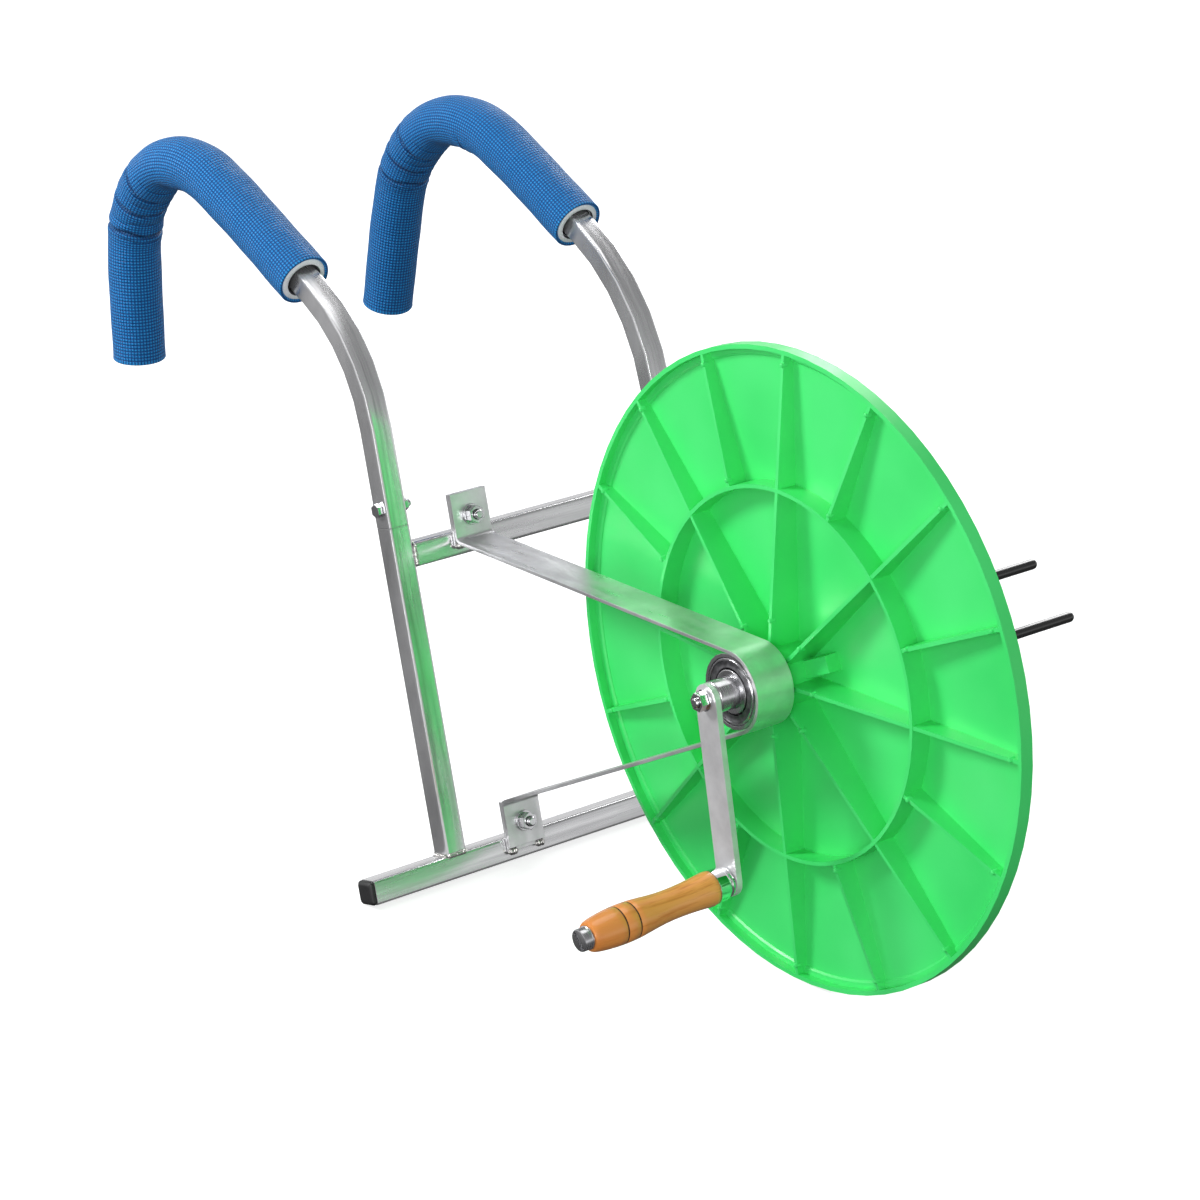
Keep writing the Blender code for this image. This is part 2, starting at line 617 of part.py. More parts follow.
def build_strap(parent, stuff):
    upper, touch_up = strap_leg(UPPER_TAB, 1)
    lower, touch_down = strap_leg(LOWER_TAB, -1)
    wrap = arc((0, 0), STRAP_RADIUS, touch_up, touch_down + 360, 24)
    back = [(out, up, heading + math.pi) for out, up, heading in reversed(lower)]
    half = STRAP_PLATE / 2
    loops = []
    for out, up, heading in upper + wrap + back:
        normal = Vector((-math.sin(heading), math.cos(heading))) * half
        near, far = (out - normal.x, up - normal.y), (out + normal.x, up + normal.y)
        loops.append([(STRAP_NEAR, *near), (STRAP_FAR, *near), (STRAP_FAR, *far), (STRAP_NEAR, *far)])
    strap = solid("bearing_strap", parent, loops, stuff["zinc"], smooth=30)
    for name, up in bracket_bolts().items():
        place = (STRAP_MIDDLE, TAB_FRONT, up)
        hole = M8["radius"] + GAP
        drill(f"strap_hole_{name}", strap, place, (0, 1, 0), hole, 3 * MM, STRAP_PLATE + 2 * MM)


def bracket_bolts():
    """Heights of the two bracket bolts, at the middle of the tabs."""
    return {"upper": UPPER_TAB + TAB_LENGTH / 2, "lower": LOWER_TAB - TAB_LENGTH / 2}


def build_bracket_fixings(parent, stuff):
    spans = {
        "upper": (UPPER_TAB - PLATE_PAST_TAB, UPPER_TAB + TAB_LENGTH),
        "lower": (LOWER_TAB - TAB_LENGTH - PLATE_PAST_TAB, LOWER_TAB),
    }
    for name, up in bracket_bolts().items():
        low, high = spans[name]
        loops = []
        for z in (low, high):
            corners = (
                (STRAP_NEAR, PLATE_FRONT), (STRAP_FAR, PLATE_FRONT),
                (STRAP_FAR, PLATE_BACK), (STRAP_NEAR, PLATE_BACK),
            )
            loops.append([(*corner, z) for corner in corners])
        plate = solid(f"mount_plate_{name}", parent, loops, stuff["zinc"])
        place = (STRAP_MIDDLE, PLATE_FRONT, up)
        hole = M8["radius"] + GAP
        drill(f"plate_hole_{name}", plate, place, (0, 1, 0), hole, 2 * MM, MOUNT_PLATE + 2 * MM)
        back = (STRAP_MIDDLE, PLATE_BACK + GAP, up)
        front = (STRAP_MIDDLE, TAB_FRONT - GAP, up)
        before_nut = (STRAP_MIDDLE, TAB_FRONT - 2 * GAP - M8["plate"], up)
        length = back[1] - before_nut[1] + M8["height"] + BOLT_PAST_NUT
        bolt(f"bracket_bolt_{name}", parent, back, (0, -1, 0), M8, length, stuff["zinc"])
        washer(f"bracket_washer_{name}", parent, front, (0, -1, 0), M8, stuff["zinc"])
        nut(f"bracket_nut_{name}", parent, before_nut, (0, -1, 0), M8, stuff["zinc"])


# ---------------------------------------------------------------- frame

def crossbar(name, parent, low, high, side, wall, corner, out, up, stuff):
    outer = rounded_square(side, corner)
    inner = rounded_square(side - 2 * wall, corner - wall / 2)
    loops = [across_shaft(outer, x, (out, up)) for x in (low, high)]
    loops += [across_shaft(inner, x, (out, up)) for x in (high, low)]
    return solid(name, parent, loops, stuff, hollow=True, smooth=40)


def upright_x(side):
    return FRAME_CENTRE + side * FRAME_WIDTH / 2


def level(section, x, out, up):
    """Place a section flat across an upright."""
    return [(x + a, out + b, up) for a, b in section]


def standing_tube(name, parent, x, ends, side, corner, stuff):
    outer = rounded_square(side, corner)
    inner = rounded_square(side - 2 * TUBE_WALL, corner - TUBE_WALL / 2)
    loops = [level(outer, x, TUBE_OUT, up) for up in ends]
    loops += [level(inner, x, TUBE_OUT, up) for up in reversed(ends)]
    return solid(name, parent, loops, stuff, hollow=True, smooth=40)


def build_crossbars(parent, stuff):
    low = upright_x(-1) - FOOT_OVERHANG
    high = upright_x(1) + FOOT_OVERHANG
    centre = (FOOT_OUT, FOOT_TOP - FOOT_TUBE / 2)
    crossbar("lower_crossbar", parent, low, high, FOOT_TUBE, FOOT_WALL, FOOT_CORNER, *centre, stuff["zinc"])
    inside = TUBE / 2 + GAP
    crossbar(
        "upper_crossbar", parent, upright_x(-1) + inside, upright_x(1) - inside,
        TUBE, TUBE_WALL, TUBE_CORNER, TUBE_OUT, UPPER_BAR_LOW + TUBE / 2, stuff["zinc"],
    )
    stem = rounded_square(FOOT_TUBE - 2 * FOOT_WALL - 2 * GAP, FOOT_CORNER - FOOT_WALL / 2)
    head = rounded_square(FOOT_TUBE - 2 * GAP, FOOT_CORNER)
    face = rounded_square(FOOT_TUBE - 5 * MM, FOOT_CORNER)
    for name, end, outward in (("foot_plug_right", low, -1), ("foot_plug_left", high, 1)):
        stations = (
            (stem, -PLUG_STEM), (stem, GAP), (head, GAP),
            (head, FOOT_PLUG_HEAD - 2 * MM), (face, FOOT_PLUG_HEAD),
        )
        loops = [across_shaft(section, end + outward * step, centre) for section, step in stations]
        solid(name, parent, loops, stuff["black"], smooth=40)


def hook_stations(hook):
    """The hook's centre line: (distance, out, up, heading) from the seam, in the frame's axes."""
    distance, out, up, heading = 0.0, TUBE_OUT, SEAM, math.pi / 2
    stations = [(distance, out, up, heading)]
    stretches = (
        (hook["rise"], None), (hook["radius_1"], hook["bend_1"]), (hook["shoulder"], None),
        (hook["radius_2"], hook["bend_2"]), (hook["drop"], None),
    )
    for size, bend in stretches:
        steps = 1 if bend is None else math.ceil(bend / BEND_STEP)
        turn = 0.0 if bend is None else math.radians(bend) / steps
        move = size if bend is None else 2 * size * math.sin(turn / 2)
        for _ in range(steps):
            out += move * math.cos(heading - turn / 2)
            up += move * math.sin(heading - turn / 2)
            heading -= turn
            distance += size if bend is None else size * turn
            stations.append((distance, out, up, heading))
    return stations


def stations_between(stations, low, high):
    """The stations from low to high, with one put in at each end; the ends lie on straight runs."""
    picked = [end_station(stations, low)]
    picked += [station for station in stations if low + 1 * MM < station[0] < high - 1 * MM]
    picked.append(end_station(stations, high))
    return picked


def end_station(stations, distance):
    following = next((i for i, station in enumerate(stations) if station[0] >= distance), len(stations) - 1)
    first, second = stations[following - 1], stations[following]
    share = (distance - first[0]) / (second[0] - first[0])
    mixed = [a + (b - a) * share for a, b in zip(first, second)]
    mixed[0] = distance
    return tuple(mixed)


def bent(section, x, station):
    """Place a section across the hook's centre line."""
    _, out, up, heading = station
    normal = (math.sin(heading), -math.cos(heading))
    return [(x + a, out + b * normal[0], up + b * normal[1]) for a, b in section]


def bent_tube(name, parent, x, stations, outer, inner, stuff, smooth=40, mouth=None):
    """A tube along the stations; mouth, if it is given, is the bore's section at the first of them."""
    loops = [bent(outer, x, station) for station in stations]
    loops += [bent(inner, x, station) for station in reversed(stations[1:])]
    loops.append(bent(mouth or inner, x, stations[0]))
    return solid(name, parent, loops, stuff, hollow=True, smooth=smooth)


def build_side(side_name, hook, parent, stuff):
    x = upright_x(hook["side"])
    ends = (UPRIGHT_LOW, UPRIGHT_TOP)
    standing_tube(f"upright_{side_name}", parent, x, ends, TUBE, TUBE_CORNER, stuff["zinc"])
    bore = TUBE - 2 * TUBE_WALL
    bore_corner = TUBE_CORNER - TUBE_WALL / 2
    ends = (SEAM - SPIGOT_HALF, SEAM + SPIGOT_HALF)
    inside = bore - 2 * GAP
    spigot = standing_tube(f"spigot_{side_name}", parent, x, ends, inside, bore_corner, stuff["zinc"])
    stations = hook_stations(hook)
    outer = rounded_square(TUBE, TUBE_CORNER)
    inner = rounded_square(bore, bore_corner)
    tube = bent_tube(f"hook_tube_{side_name}", parent, x, stations, outer, inner, stuff["zinc"])
    up = SEAM + HOOK_BOLT_RISE
    for piece in (spigot, tube):
        drill(f"{piece.name}_hole", piece, (x, TUBE_OUT, up), (1, 0, 0), M6["radius"] + GAP, TUBE, TUBE)
    head = (x - TUBE / 2 - GAP, TUBE_OUT, up)
    far = (x + TUBE / 2 + GAP, TUBE_OUT, up)
    length = TUBE + 2 * GAP + M6["height"] + BOLT_PAST_NUT
    bolt(f"hook_bolt_{side_name}", parent, head, (1, 0, 0), M6, length, stuff["zinc"])
    nut(f"hook_nut_{side_name}", parent, far, (1, 0, 0), M6, stuff["zinc"])
    build_hook_plug(side_name, x, stations, parent, stuff)
    build_foam(side_name, x, stations, hook["foam_start"], parent, stuff)


def build_hook_plug(side_name, x, stations, parent, stuff):
    length, out, up, heading = stations[-1]
    bore = TUBE - 2 * TUBE_WALL
    stem = rounded_square(bore - 2 * GAP, TUBE_CORNER - TUBE_WALL / 2)
    head = rounded_square(TUBE - 2 * GAP, TUBE_CORNER)
    loops = []
    for section, step in ((stem, -PLUG_STEM), (stem, GAP), (head, GAP), (head, HOOK_PLUG_HEAD)):
        place = (length, out + step * math.cos(heading), up + step * math.sin(heading), heading)
        loops.append(bent(section, x, place))
    solid(f"hook_plug_{side_name}", parent, loops, stuff["black"], smooth=40)


def build_foam(side_name, x, stations, start, parent, stuff):
    length, out, up, heading = stations[-1]
    past = FOAM_PAST_TUBE
    end = (length + past, out + past * math.cos(heading), up + past * math.sin(heading), heading)
    kept = stations_between(stations, start, length)[:-1] + [end]
    core_radius = FOAM_RADIUS - FOAM_COVER - GAP
    core, bore, mouth = circle(core_radius, 12), circle(FOAM_BORE, 12), circle(FOAM_MOUTH, 12)
    bent_tube(f"foam_core_{side_name}", parent, x, kept, core, bore, stuff["foam"], 50, mouth)
    # The cover's bore is measured across its flats, so that it clears the core all round
    cover_bore = (core_radius + GAP) / math.cos(math.pi / 16)
    skin, bore = circle(FOAM_RADIUS, 16), circle(cover_bore, 16)
    bent_tube(f"foam_cover_{side_name}", parent, x, kept, skin, bore, stuff["blue"], 50)


# ---------------------------------------------------------------- crank

def arm_outline():
    """Outline of the arm about the shaft: two half circles and the straight sides between them."""
    turn = math.radians(ARM_ANGLE)
    down = Vector((-math.sin(turn), -math.cos(turn)))
    side = Vector((-down.y, down.x))
    points = []
    for centre, start in ((Vector((0, 0)), 90), (down * ARM_LENGTH, -90)):
        for i in range(9):
            angle = math.radians(start + i * 22.5)
            points.append(centre + (down * math.cos(angle) + side * math.sin(angle)) * ARM_WIDTH / 2)
    return [tuple(point) for point in points]


def build_crank(shaft_axis, grip_axis, stuff):
    outline = arm_outline()
    loops = [across_shaft(outline, x) for x in (ARM_NEAR, ARM_FAR)]
    arm = solid("crank_arm", shaft_axis, loops, stuff["zinc"], smooth=30)
    drill("arm_stud_hole", arm, (ARM_NEAR, 0, 0), (1, 0, 0), STUD_RADIUS + GAP, 2 * MM, ARM_PLATE + 2 * MM)
    place = (ARM_NEAR, *grip_centre())
    drill("arm_spindle_hole", arm, place, (1, 0, 0), SPINDLE_RADIUS + 2 * GAP, 2 * MM, ARM_PLATE + 2 * MM)
    washer_base = (ARM_NEAR - GAP, 0, 0)
    nut_base = (ARM_NEAR - 2 * GAP - M8["plate"], 0, 0)
    washer("crank_washer", shaft_axis, washer_base, (-1, 0, 0), M8, stuff["zinc"])
    nut("crank_nut", shaft_axis, nut_base, (-1, 0, 0), M8, stuff["zinc"])
    tip = nut_base[0] - M8["height"] - STUD_PAST_NUT
    bottom = SHAFT_NEAR + STUD_DEPTH - 2 * MM
    stud = [(tip, STUD_RADIUS * 0.75), (tip + 1 * MM, STUD_RADIUS), (bottom, STUD_RADIUS)]
    turned("crank_stud", shaft_axis, stud, stuff["zinc"], 12)
    build_spindle(grip_axis, stuff)


def grip_centre():
    """Centre of the grip about the shaft, as (y, z)."""
    turn = math.radians(ARM_ANGLE)
    return -ARM_LENGTH * math.sin(turn), -ARM_LENGTH * math.cos(turn)


def grip_tilt():
    """The grip's axis: it passes through the middle of the arm's end and hangs a little towards -X."""
    middle = (ARM_NEAR + ARM_FAR) / 2
    droop = Matrix.Rotation(-math.radians(GRIP_DROOP), 4, "Y")
    return Matrix.Translation((middle, *grip_centre())) @ droop @ Matrix.Translation((-middle, 0, 0))


def build_spindle(axis, stuff):
    """The pieces fixed to the arm that the grip turns on."""
    back = ARM_FAR + GAP + SPINDLE_HEAD * SIN_DROOP
    spindle = [
        (back + SPINDLE_HEAD_DEPTH, SPINDLE_HEAD * 0.7), (back + SPINDLE_HEAD_DEPTH * 0.4, SPINDLE_HEAD),
        (back, SPINDLE_HEAD), (back, SPINDLE_RADIUS), (SPINDLE_NEAR, SPINDLE_RADIUS),
    ]
    turned("grip_spindle", axis, spindle, stuff["zinc"], 16)
    bore = SPINDLE_RADIUS + GAP
    collar = [
        (COLLAR_NEAR, bore), (COLLAR_NEAR, COLLAR_RADIUS), (COLLAR_FAR, COLLAR_RADIUS), (COLLAR_FAR, bore),
    ]
    turned("grip_collar", axis, collar, stuff["chrome"], 24, hollow=True)
    end_nut = [
        (SPINDLE_NEAR - GAP, bore), (GRIP_NUT_FAR, bore), (GRIP_NUT_FAR, GRIP_NUT_RADIUS),
        (GRIP_NUT_NEAR + 1.6 * MM, GRIP_NUT_RADIUS), (GRIP_NUT_NEAR + 0.5 * MM, GRIP_NUT_RADIUS * 0.88),
        (GRIP_NUT_NEAR, GRIP_NUT_RADIUS * 0.6),
    ]
    turned("grip_end_nut", axis, end_nut, stuff["bearing"], 24)


def build_grip(axis, stuff):
    bore = (SPINDLE_RADIUS + RUNNING_GAP) / math.cos(math.pi / 24)
    neck_far = FERRULE_FAR - FERRULE_END - GAP
    outside = [(GRIP_FAR - share * GRIP_LENGTH, radius) for share, radius in GRIP_RADII]
    wood = [(neck_far, bore), (neck_far, GRIP_NECK), (GRIP_FAR, GRIP_NECK), *outside, (GRIP_NEAR, bore)]
    turned("wooden_grip", axis, wood, stuff["wood"], 24, hollow=True)
    cup_bore = GRIP_NECK + GAP
    rim = cup_bore + FERRULE_WALL
    ferrule = [
        (FERRULE_FAR, bore), (FERRULE_FAR, rim - 1.2 * MM), (FERRULE_FAR - 1.2 * MM, rim - 0.4 * MM),
        (FERRULE_NEAR, rim), (FERRULE_NEAR, cup_bore),
        (FERRULE_FAR - FERRULE_END, cup_bore), (FERRULE_FAR - FERRULE_END, bore),
    ]
    turned("grip_ferrule", axis, ferrule, stuff["chrome"], 24, hollow=True)


# ---------------------------------------------------------------- whole winder

def settle(base):
    """Move the whole winder so that the origin is at the bottom centre of its box."""
    bpy.context.view_layer.update()
    depsgraph = bpy.context.evaluated_depsgraph_get()
    low = Vector((math.inf,) * 3)
    high = Vector((-math.inf,) * 3)
    for item in bpy.context.scene.objects:
        if item.type != "MESH" or item.hide_render:
            continue
        ready = item.evaluated_get(depsgraph)
        for vertex in ready.data.vertices:
            point = ready.matrix_world @ vertex.co
            low = Vector(map(min, low, point))
            high = Vector(map(max, high, point))
    middle = (low + high) / 2
    base.location = (-middle.x, -middle.y, -low.z)
    bpy.context.view_layer.update()


def build_winder():
    stuff = make_materials()
    base = axis_empty("base")
    leaning_frame = axis_empty("leaning_frame", base, lean=LEAN)
    shaft_axis = axis_empty("shaft_axis", base)
    cage_axis = axis_empty("cage_axis", base)
    spindle_axis = axis_empty("spindle_axis", shaft_axis)
    spindle_axis.matrix_local = grip_tilt()
    grip_axis = axis_empty("grip_axis", shaft_axis)
    grip_axis.matrix_local = grip_tilt()
    build_disc(shaft_axis, stuff)
    build_flange(shaft_axis, stuff)
    build_fork(shaft_axis, stuff)
    build_shaft(shaft_axis, stuff)
    for place, x in BEARINGS.items():
        build_bearing(place, x, base, cage_axis, shaft_axis, stuff)
    build_housing(base, stuff)
    build_crank(shaft_axis, spindle_axis, stuff)
    build_grip(grip_axis, stuff)
    build_strap(leaning_frame, stuff)
    build_bracket_fixings(leaning_frame, stuff)
    build_crossbars(leaning_frame, stuff)
    for side_name, hook in HOOKS.items():
        build_side(side_name, hook, leaning_frame, stuff)
    settle(base)
    for axis in (shaft_axis, grip_axis):
        point = axis.matrix_world.translation
        heading = axis.matrix_world.col[0]
        print(axis.name, [round(value, 6) for value in (*point, *heading[:3])])


clear_scene()
build_winder()
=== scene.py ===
# %% [markdown]
# # A shoulder-hung hose winder, dressed for its portrait
#
# The engineering model of the winder already exists. It says where every tube, disc and bolt is, and
# which pieces turn together. This notebook keeps that frame where it stands and makes the surfaces
# that a camera sees: moulded plastic, plated steel, woven covers and varnished wood.
#
# The frame comes first, so that every later size and place can be read from it.

# %% Load the frame
import json
import math
import random

import bpy
import numpy as np
from mathutils import Matrix, Vector

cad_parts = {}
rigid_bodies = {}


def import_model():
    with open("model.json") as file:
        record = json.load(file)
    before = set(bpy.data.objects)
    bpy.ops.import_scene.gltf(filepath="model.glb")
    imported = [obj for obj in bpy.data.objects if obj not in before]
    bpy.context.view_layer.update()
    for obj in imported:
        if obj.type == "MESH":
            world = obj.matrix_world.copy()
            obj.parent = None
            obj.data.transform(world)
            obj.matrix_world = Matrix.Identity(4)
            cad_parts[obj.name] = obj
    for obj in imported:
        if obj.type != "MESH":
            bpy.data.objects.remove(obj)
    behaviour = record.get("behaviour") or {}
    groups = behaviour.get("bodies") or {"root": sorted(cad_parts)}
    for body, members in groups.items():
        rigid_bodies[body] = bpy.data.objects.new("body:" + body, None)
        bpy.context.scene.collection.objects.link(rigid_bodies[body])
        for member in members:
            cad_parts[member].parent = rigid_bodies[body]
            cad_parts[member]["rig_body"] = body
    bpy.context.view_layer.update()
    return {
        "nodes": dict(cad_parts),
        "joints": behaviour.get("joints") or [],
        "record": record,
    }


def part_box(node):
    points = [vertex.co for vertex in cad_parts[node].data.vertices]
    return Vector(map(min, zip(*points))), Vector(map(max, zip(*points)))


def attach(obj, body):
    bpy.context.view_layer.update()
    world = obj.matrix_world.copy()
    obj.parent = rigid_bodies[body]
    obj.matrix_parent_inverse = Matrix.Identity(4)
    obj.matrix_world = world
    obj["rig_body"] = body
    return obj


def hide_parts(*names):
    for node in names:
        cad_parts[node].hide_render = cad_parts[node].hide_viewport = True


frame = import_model()
MM = 0.001
JOINTS = {joint["name"]: joint for joint in frame["joints"]}
MOUNTS = {mount["name"]: mount for mount in frame["record"]["mounts"]}
SHAFT = Vector(JOINTS["reel_turn"]["pos_m"])
SHAFT_WAY = Vector(JOINTS["reel_turn"]["axis"]).normalized()
GRIP = Vector(JOINTS["grip_turn"]["pos_m"])
GRIP_WAY = -Vector(JOINTS["grip_turn"]["axis"]).normalized()

# %% [markdown]
# ## The camera
#
# A long lens from well back keeps the disc's ellipse and the parallel tubes calm. The camera looks
# from the crank's side, a little from above, so that the ribbed face, the bearing and both hooks
# show. Its three directions are set as one matrix, which leaves no doubt about roll.

# %% Camera
LOOK = Vector((0.5680, 0.7313, -0.3775)).normalized()
RIGHT = LOOK.cross(Vector((0, 0, 1))).normalized()
UP = RIGHT.cross(LOOK)
STAND_OFF = Vector((-1.794, -2.079, 1.177))

camera_data = bpy.data.cameras.new("studio_camera")
camera_data.lens = 120
camera_data.sensor_width = 36
camera_data.clip_end = 60
camera = bpy.data.objects.new("studio_camera", camera_data)
bpy.context.scene.collection.objects.link(camera)
camera.matrix_world = Matrix((RIGHT, UP, -LOOK)).transposed().to_4x4()
camera.location = SHAFT + STAND_OFF
bpy.context.scene.camera = camera
print("camera at", [round(value, 3) for value in camera.location])

# %% [markdown]
# ## Studio light and floor
#
# Plated steel shows its surroundings more than itself. In an all-white room it would turn white, so
# the room has two faces. The camera sees plain white. Reflections and bounced light see a dark
# ground, a bright band at the horizon and a grey ceiling, as cards round a set would give. The
# floor is pale and takes soft shadows, and it is left out of reflections and of bounced light, so
# that the tubes keep their dark sides.

# %% Room, floor and lights
BACKDROP_LIGHT = 1.0
# The room from straight down, 0, to straight up, 1, with its brightness at each height
ROOM_TONES = (
    (0.00, 0.08), (0.24, 0.12), (0.36, 0.18), (0.42, 0.42), (0.48, 0.95),
    (0.55, 0.88), (0.62, 0.42), (0.76, 0.30), (1.00, 0.24),
)
FLOOR_SIZE = 40
FLOOR_GLOW = 0.72
LIGHT_AIM = SHAFT + Vector((0, 0.15, 0.05))
# Each light: its name, place and size in metres, and its power in watts
LIGHTS = (
    ("key_softbox", (-1.7, 1.3, 1.6), 0.8, 50),
    ("front_softbox", (-2.4, -2.2, 1.2), 1.8, 48),
    ("top_softbox", (0.3, 0.3, 3.0), 2.0, 16),
    ("back_softbox", (2.3, 1.3, 1.7), 1.8, 46),
)


def build_room():
    world = bpy.data.worlds.new("studio_room")
    bpy.context.scene.world = world
    world.use_nodes = True
    nodes, links = world.node_tree.nodes, world.node_tree.links
    nodes.clear()
    out = nodes.new("ShaderNodeOutputWorld")
    place = nodes.new("ShaderNodeTexCoord")
    split = nodes.new("ShaderNodeSeparateXYZ")
    height = nodes.new("ShaderNodeMapRange")
    height.inputs["From Min"].default_value = -1
    tones = nodes.new("ShaderNodeValToRGB")
    while len(tones.color_ramp.elements) < len(ROOM_TONES):
        tones.color_ramp.elements.new(0.5)
    for element, (position, tone) in zip(tones.color_ramp.elements, ROOM_TONES):
        element.position = position
        element.color = (tone, tone, tone * 1.01, 1)
    plain = nodes.new("ShaderNodeBackground")
    plain.inputs["Color"].default_value = (1, 1, 1, 1)
    plain.inputs["Strength"].default_value = BACKDROP_LIGHT
    toned = nodes.new("ShaderNodeBackground")
    rays = nodes.new("ShaderNodeLightPath")
    mix = nodes.new("ShaderNodeMixShader")
    links.new(place.outputs["Generated"], split.inputs[0])
    links.new(split.outputs["Z"], height.inputs["Value"])
    links.new(height.outputs["Result"], tones.inputs["Fac"])
    links.new(tones.outputs["Color"], toned.inputs["Color"])
    links.new(rays.outputs["Is Camera Ray"], mix.inputs["Fac"])
    links.new(toned.outputs["Background"], mix.inputs[1])
    links.new(plain.outputs["Background"], mix.inputs[2])
    links.new(mix.outputs["Shader"], out.inputs["Surface"])


def build_floor():
    bpy.ops.object.select_all(action="DESELECT")
    bpy.ops.mesh.primitive_plane_add(size=FLOOR_SIZE, location=(0, 0, 0))
    floor = bpy.context.active_object
    floor.name = "studio_floor"
    pale = bpy.data.materials.new("pale_floor")
    pale.use_nodes = True
    shader = pale.node_tree.nodes["Principled BSDF"]
    shader.inputs["Base Color"].default_value = (0.55, 0.555, 0.56, 1)
    shader.inputs["Roughness"].default_value = 0.9
    shader.inputs["Specular IOR Level"].default_value = 0.1
    shader.inputs["Emission Color"].default_value = (1, 1, 1, 1)
    shader.inputs["Emission Strength"].default_value = FLOOR_GLOW
    floor.data.materials.append(pale)
    floor.visible_glossy = False
    floor.visible_diffuse = False


def build_light(name, place, size, power):
    data = bpy.data.lights.new(name, "AREA")
    data.shape = "DISK"
    data.size = size
    data.energy = power
    light = bpy.data.objects.new(name, data)
    bpy.context.scene.collection.objects.link(light)
    light.location = place
    light.rotation_euler = (LIGHT_AIM - light.location).to_track_quat("-Z", "Y").to_euler()


build_room()
build_floor()
for light in LIGHTS:
    build_light(*light)
bpy.context.scene.view_settings.view_transform = "Standard"
print("lights", len(LIGHTS))

# %% [markdown]
# ## Small tools for finishes
#
# Each finish starts as one Principled shader. Its constant values are set on the shader's own
# sockets, and patterns are linked in only where the real surface varies. Patterns read object
# coordinates in metres, so one grain size holds on a bolt as on a tube.

# %% Finish helpers
# A Mix node has one set of sockets for each kind of value; these are its colour sockets
MIX_UNDER, MIX_OVER, MIX_RESULT = 6, 7, 2


def new_finish(name, colour, roughness, metallic=0.0):
    finish = bpy.data.materials.new(name)
    finish.use_nodes = True
    shader = finish.node_tree.nodes["Principled BSDF"]
    shader.inputs["Base Color"].default_value = (*colour, 1)
    shader.inputs["Roughness"].default_value = roughness
    shader.inputs["Metallic"].default_value = metallic
    finish.diffuse_color = (*colour, 1)
    return finish


def shader_of(finish):
    return finish.node_tree.nodes["Principled BSDF"]


def add_node(finish, kind, inputs=None, **settings):
    """A node with its settings; an input is a number, a colour or another node's socket."""
    made = finish.node_tree.nodes.new(kind)
    for name, value in settings.items():
        setattr(made, name, value)
    for name, value in (inputs or {}).items():
        if isinstance(value, bpy.types.NodeSocket):
            finish.node_tree.links.new(value, made.inputs[name])
        else:
            made.inputs[name].default_value = value
    return made


def link(finish, socket, name):
    finish.node_tree.links.new(socket, shader_of(finish).inputs[name])


def noise(finish, scale, stretch=(1, 1, 1), detail=3.0, source="Object", roughness=0.5):
    """A noise whose grain is 1/scale metres, longer where stretch is below 1."""
    place = add_node(finish, "ShaderNodeTexCoord")
    sized = add_node(finish, "ShaderNodeMapping", {"Vector": place.outputs[source], "Scale": stretch})
    inputs = {"Vector": sized.outputs[0], "Scale": scale, "Detail": detail, "Roughness": roughness}
    return add_node(finish, "ShaderNodeTexNoise", inputs).outputs["Fac"]


def tones(finish, value, stops):
    """Colours along a value: stops are (position, colour)."""
    made = add_node(finish, "ShaderNodeValToRGB", {"Fac": value})
    ramp = made.color_ramp
    while len(ramp.elements) < len(stops):
        ramp.elements.new(0.5)
    for element, (position, colour) in zip(ramp.elements, stops):
        element.position = position
        element.color = (*colour, 1)
    return made.outputs["Color"]


def spread(finish, value, low, high):
    """Bring a noise, which lies mostly between 0.3 and 0.7, to a range of its own."""
    inputs = {"Value": value, "From Min": 0.3, "From Max": 0.7, "To Min": low, "To Max": high}
    return add_node(finish, "ShaderNodeMapRange", inputs).outputs["Result"]


def add_bump(finish, height, strength, distance):
    """Fine relief that is too small to model; distance is its depth in metres."""
    shader = shader_of(finish)
    inputs = {"Height": height, "Strength": strength, "Distance": distance}
    if shader.inputs["Normal"].is_linked:
        inputs["Normal"] = shader.inputs["Normal"].links[0].from_socket
    link(finish, add_node(finish, "ShaderNodeBump", inputs).outputs["Normal"], "Normal")


def mix_colours(finish, share, under, over):
    """Cover one socket's colour with a plain colour, by a share from 0 to 1."""
    mixed = add_node(finish, "ShaderNodeMix", {"Factor": share}, data_type="RGBA")
    finish.node_tree.links.new(under, mixed.inputs[MIX_UNDER])
    mixed.inputs[MIX_OVER].default_value = (*over, 1)
    return mixed.outputs[MIX_RESULT]


print("finish helpers ready")

# %% [markdown]
# ## Moulded green plastic
#
# The disc is moulded in one piece in a bright, slightly waxy plastic. Its colour drifts a little
# where the melt cooled at different speeds, and the tool left a fine satin texture, so the gloss
# varies from place to place. A thin clear coat gives the soft highlights on rib edges.

# %% Green plastic
GREEN = (0.040, 0.680, 0.140)
GREEN_LIGHT = (0.066, 0.770, 0.185)


def make_green_plastic():
    finish = new_finish("moulded_green", GREEN, 0.36)
    drift = noise(finish, 9, detail=2)
    link(finish, tones(finish, drift, ((0.35, GREEN), (0.65, GREEN_LIGHT))), "Base Color")
    link(finish, spread(finish, noise(finish, 60), 0.30, 0.44), "Roughness")
    shader = shader_of(finish)
    shader.inputs["Coat Weight"].default_value = 0.15
    shader.inputs["Coat Roughness"].default_value = 0.3
    add_bump(finish, noise(finish, 1400, detail=2), 0.12, 0.0002)
    add_bump(finish, noise(finish, 14, detail=1), 0.10, 0.004)
    return finish


moulded_green = make_green_plastic()
print(moulded_green.name)

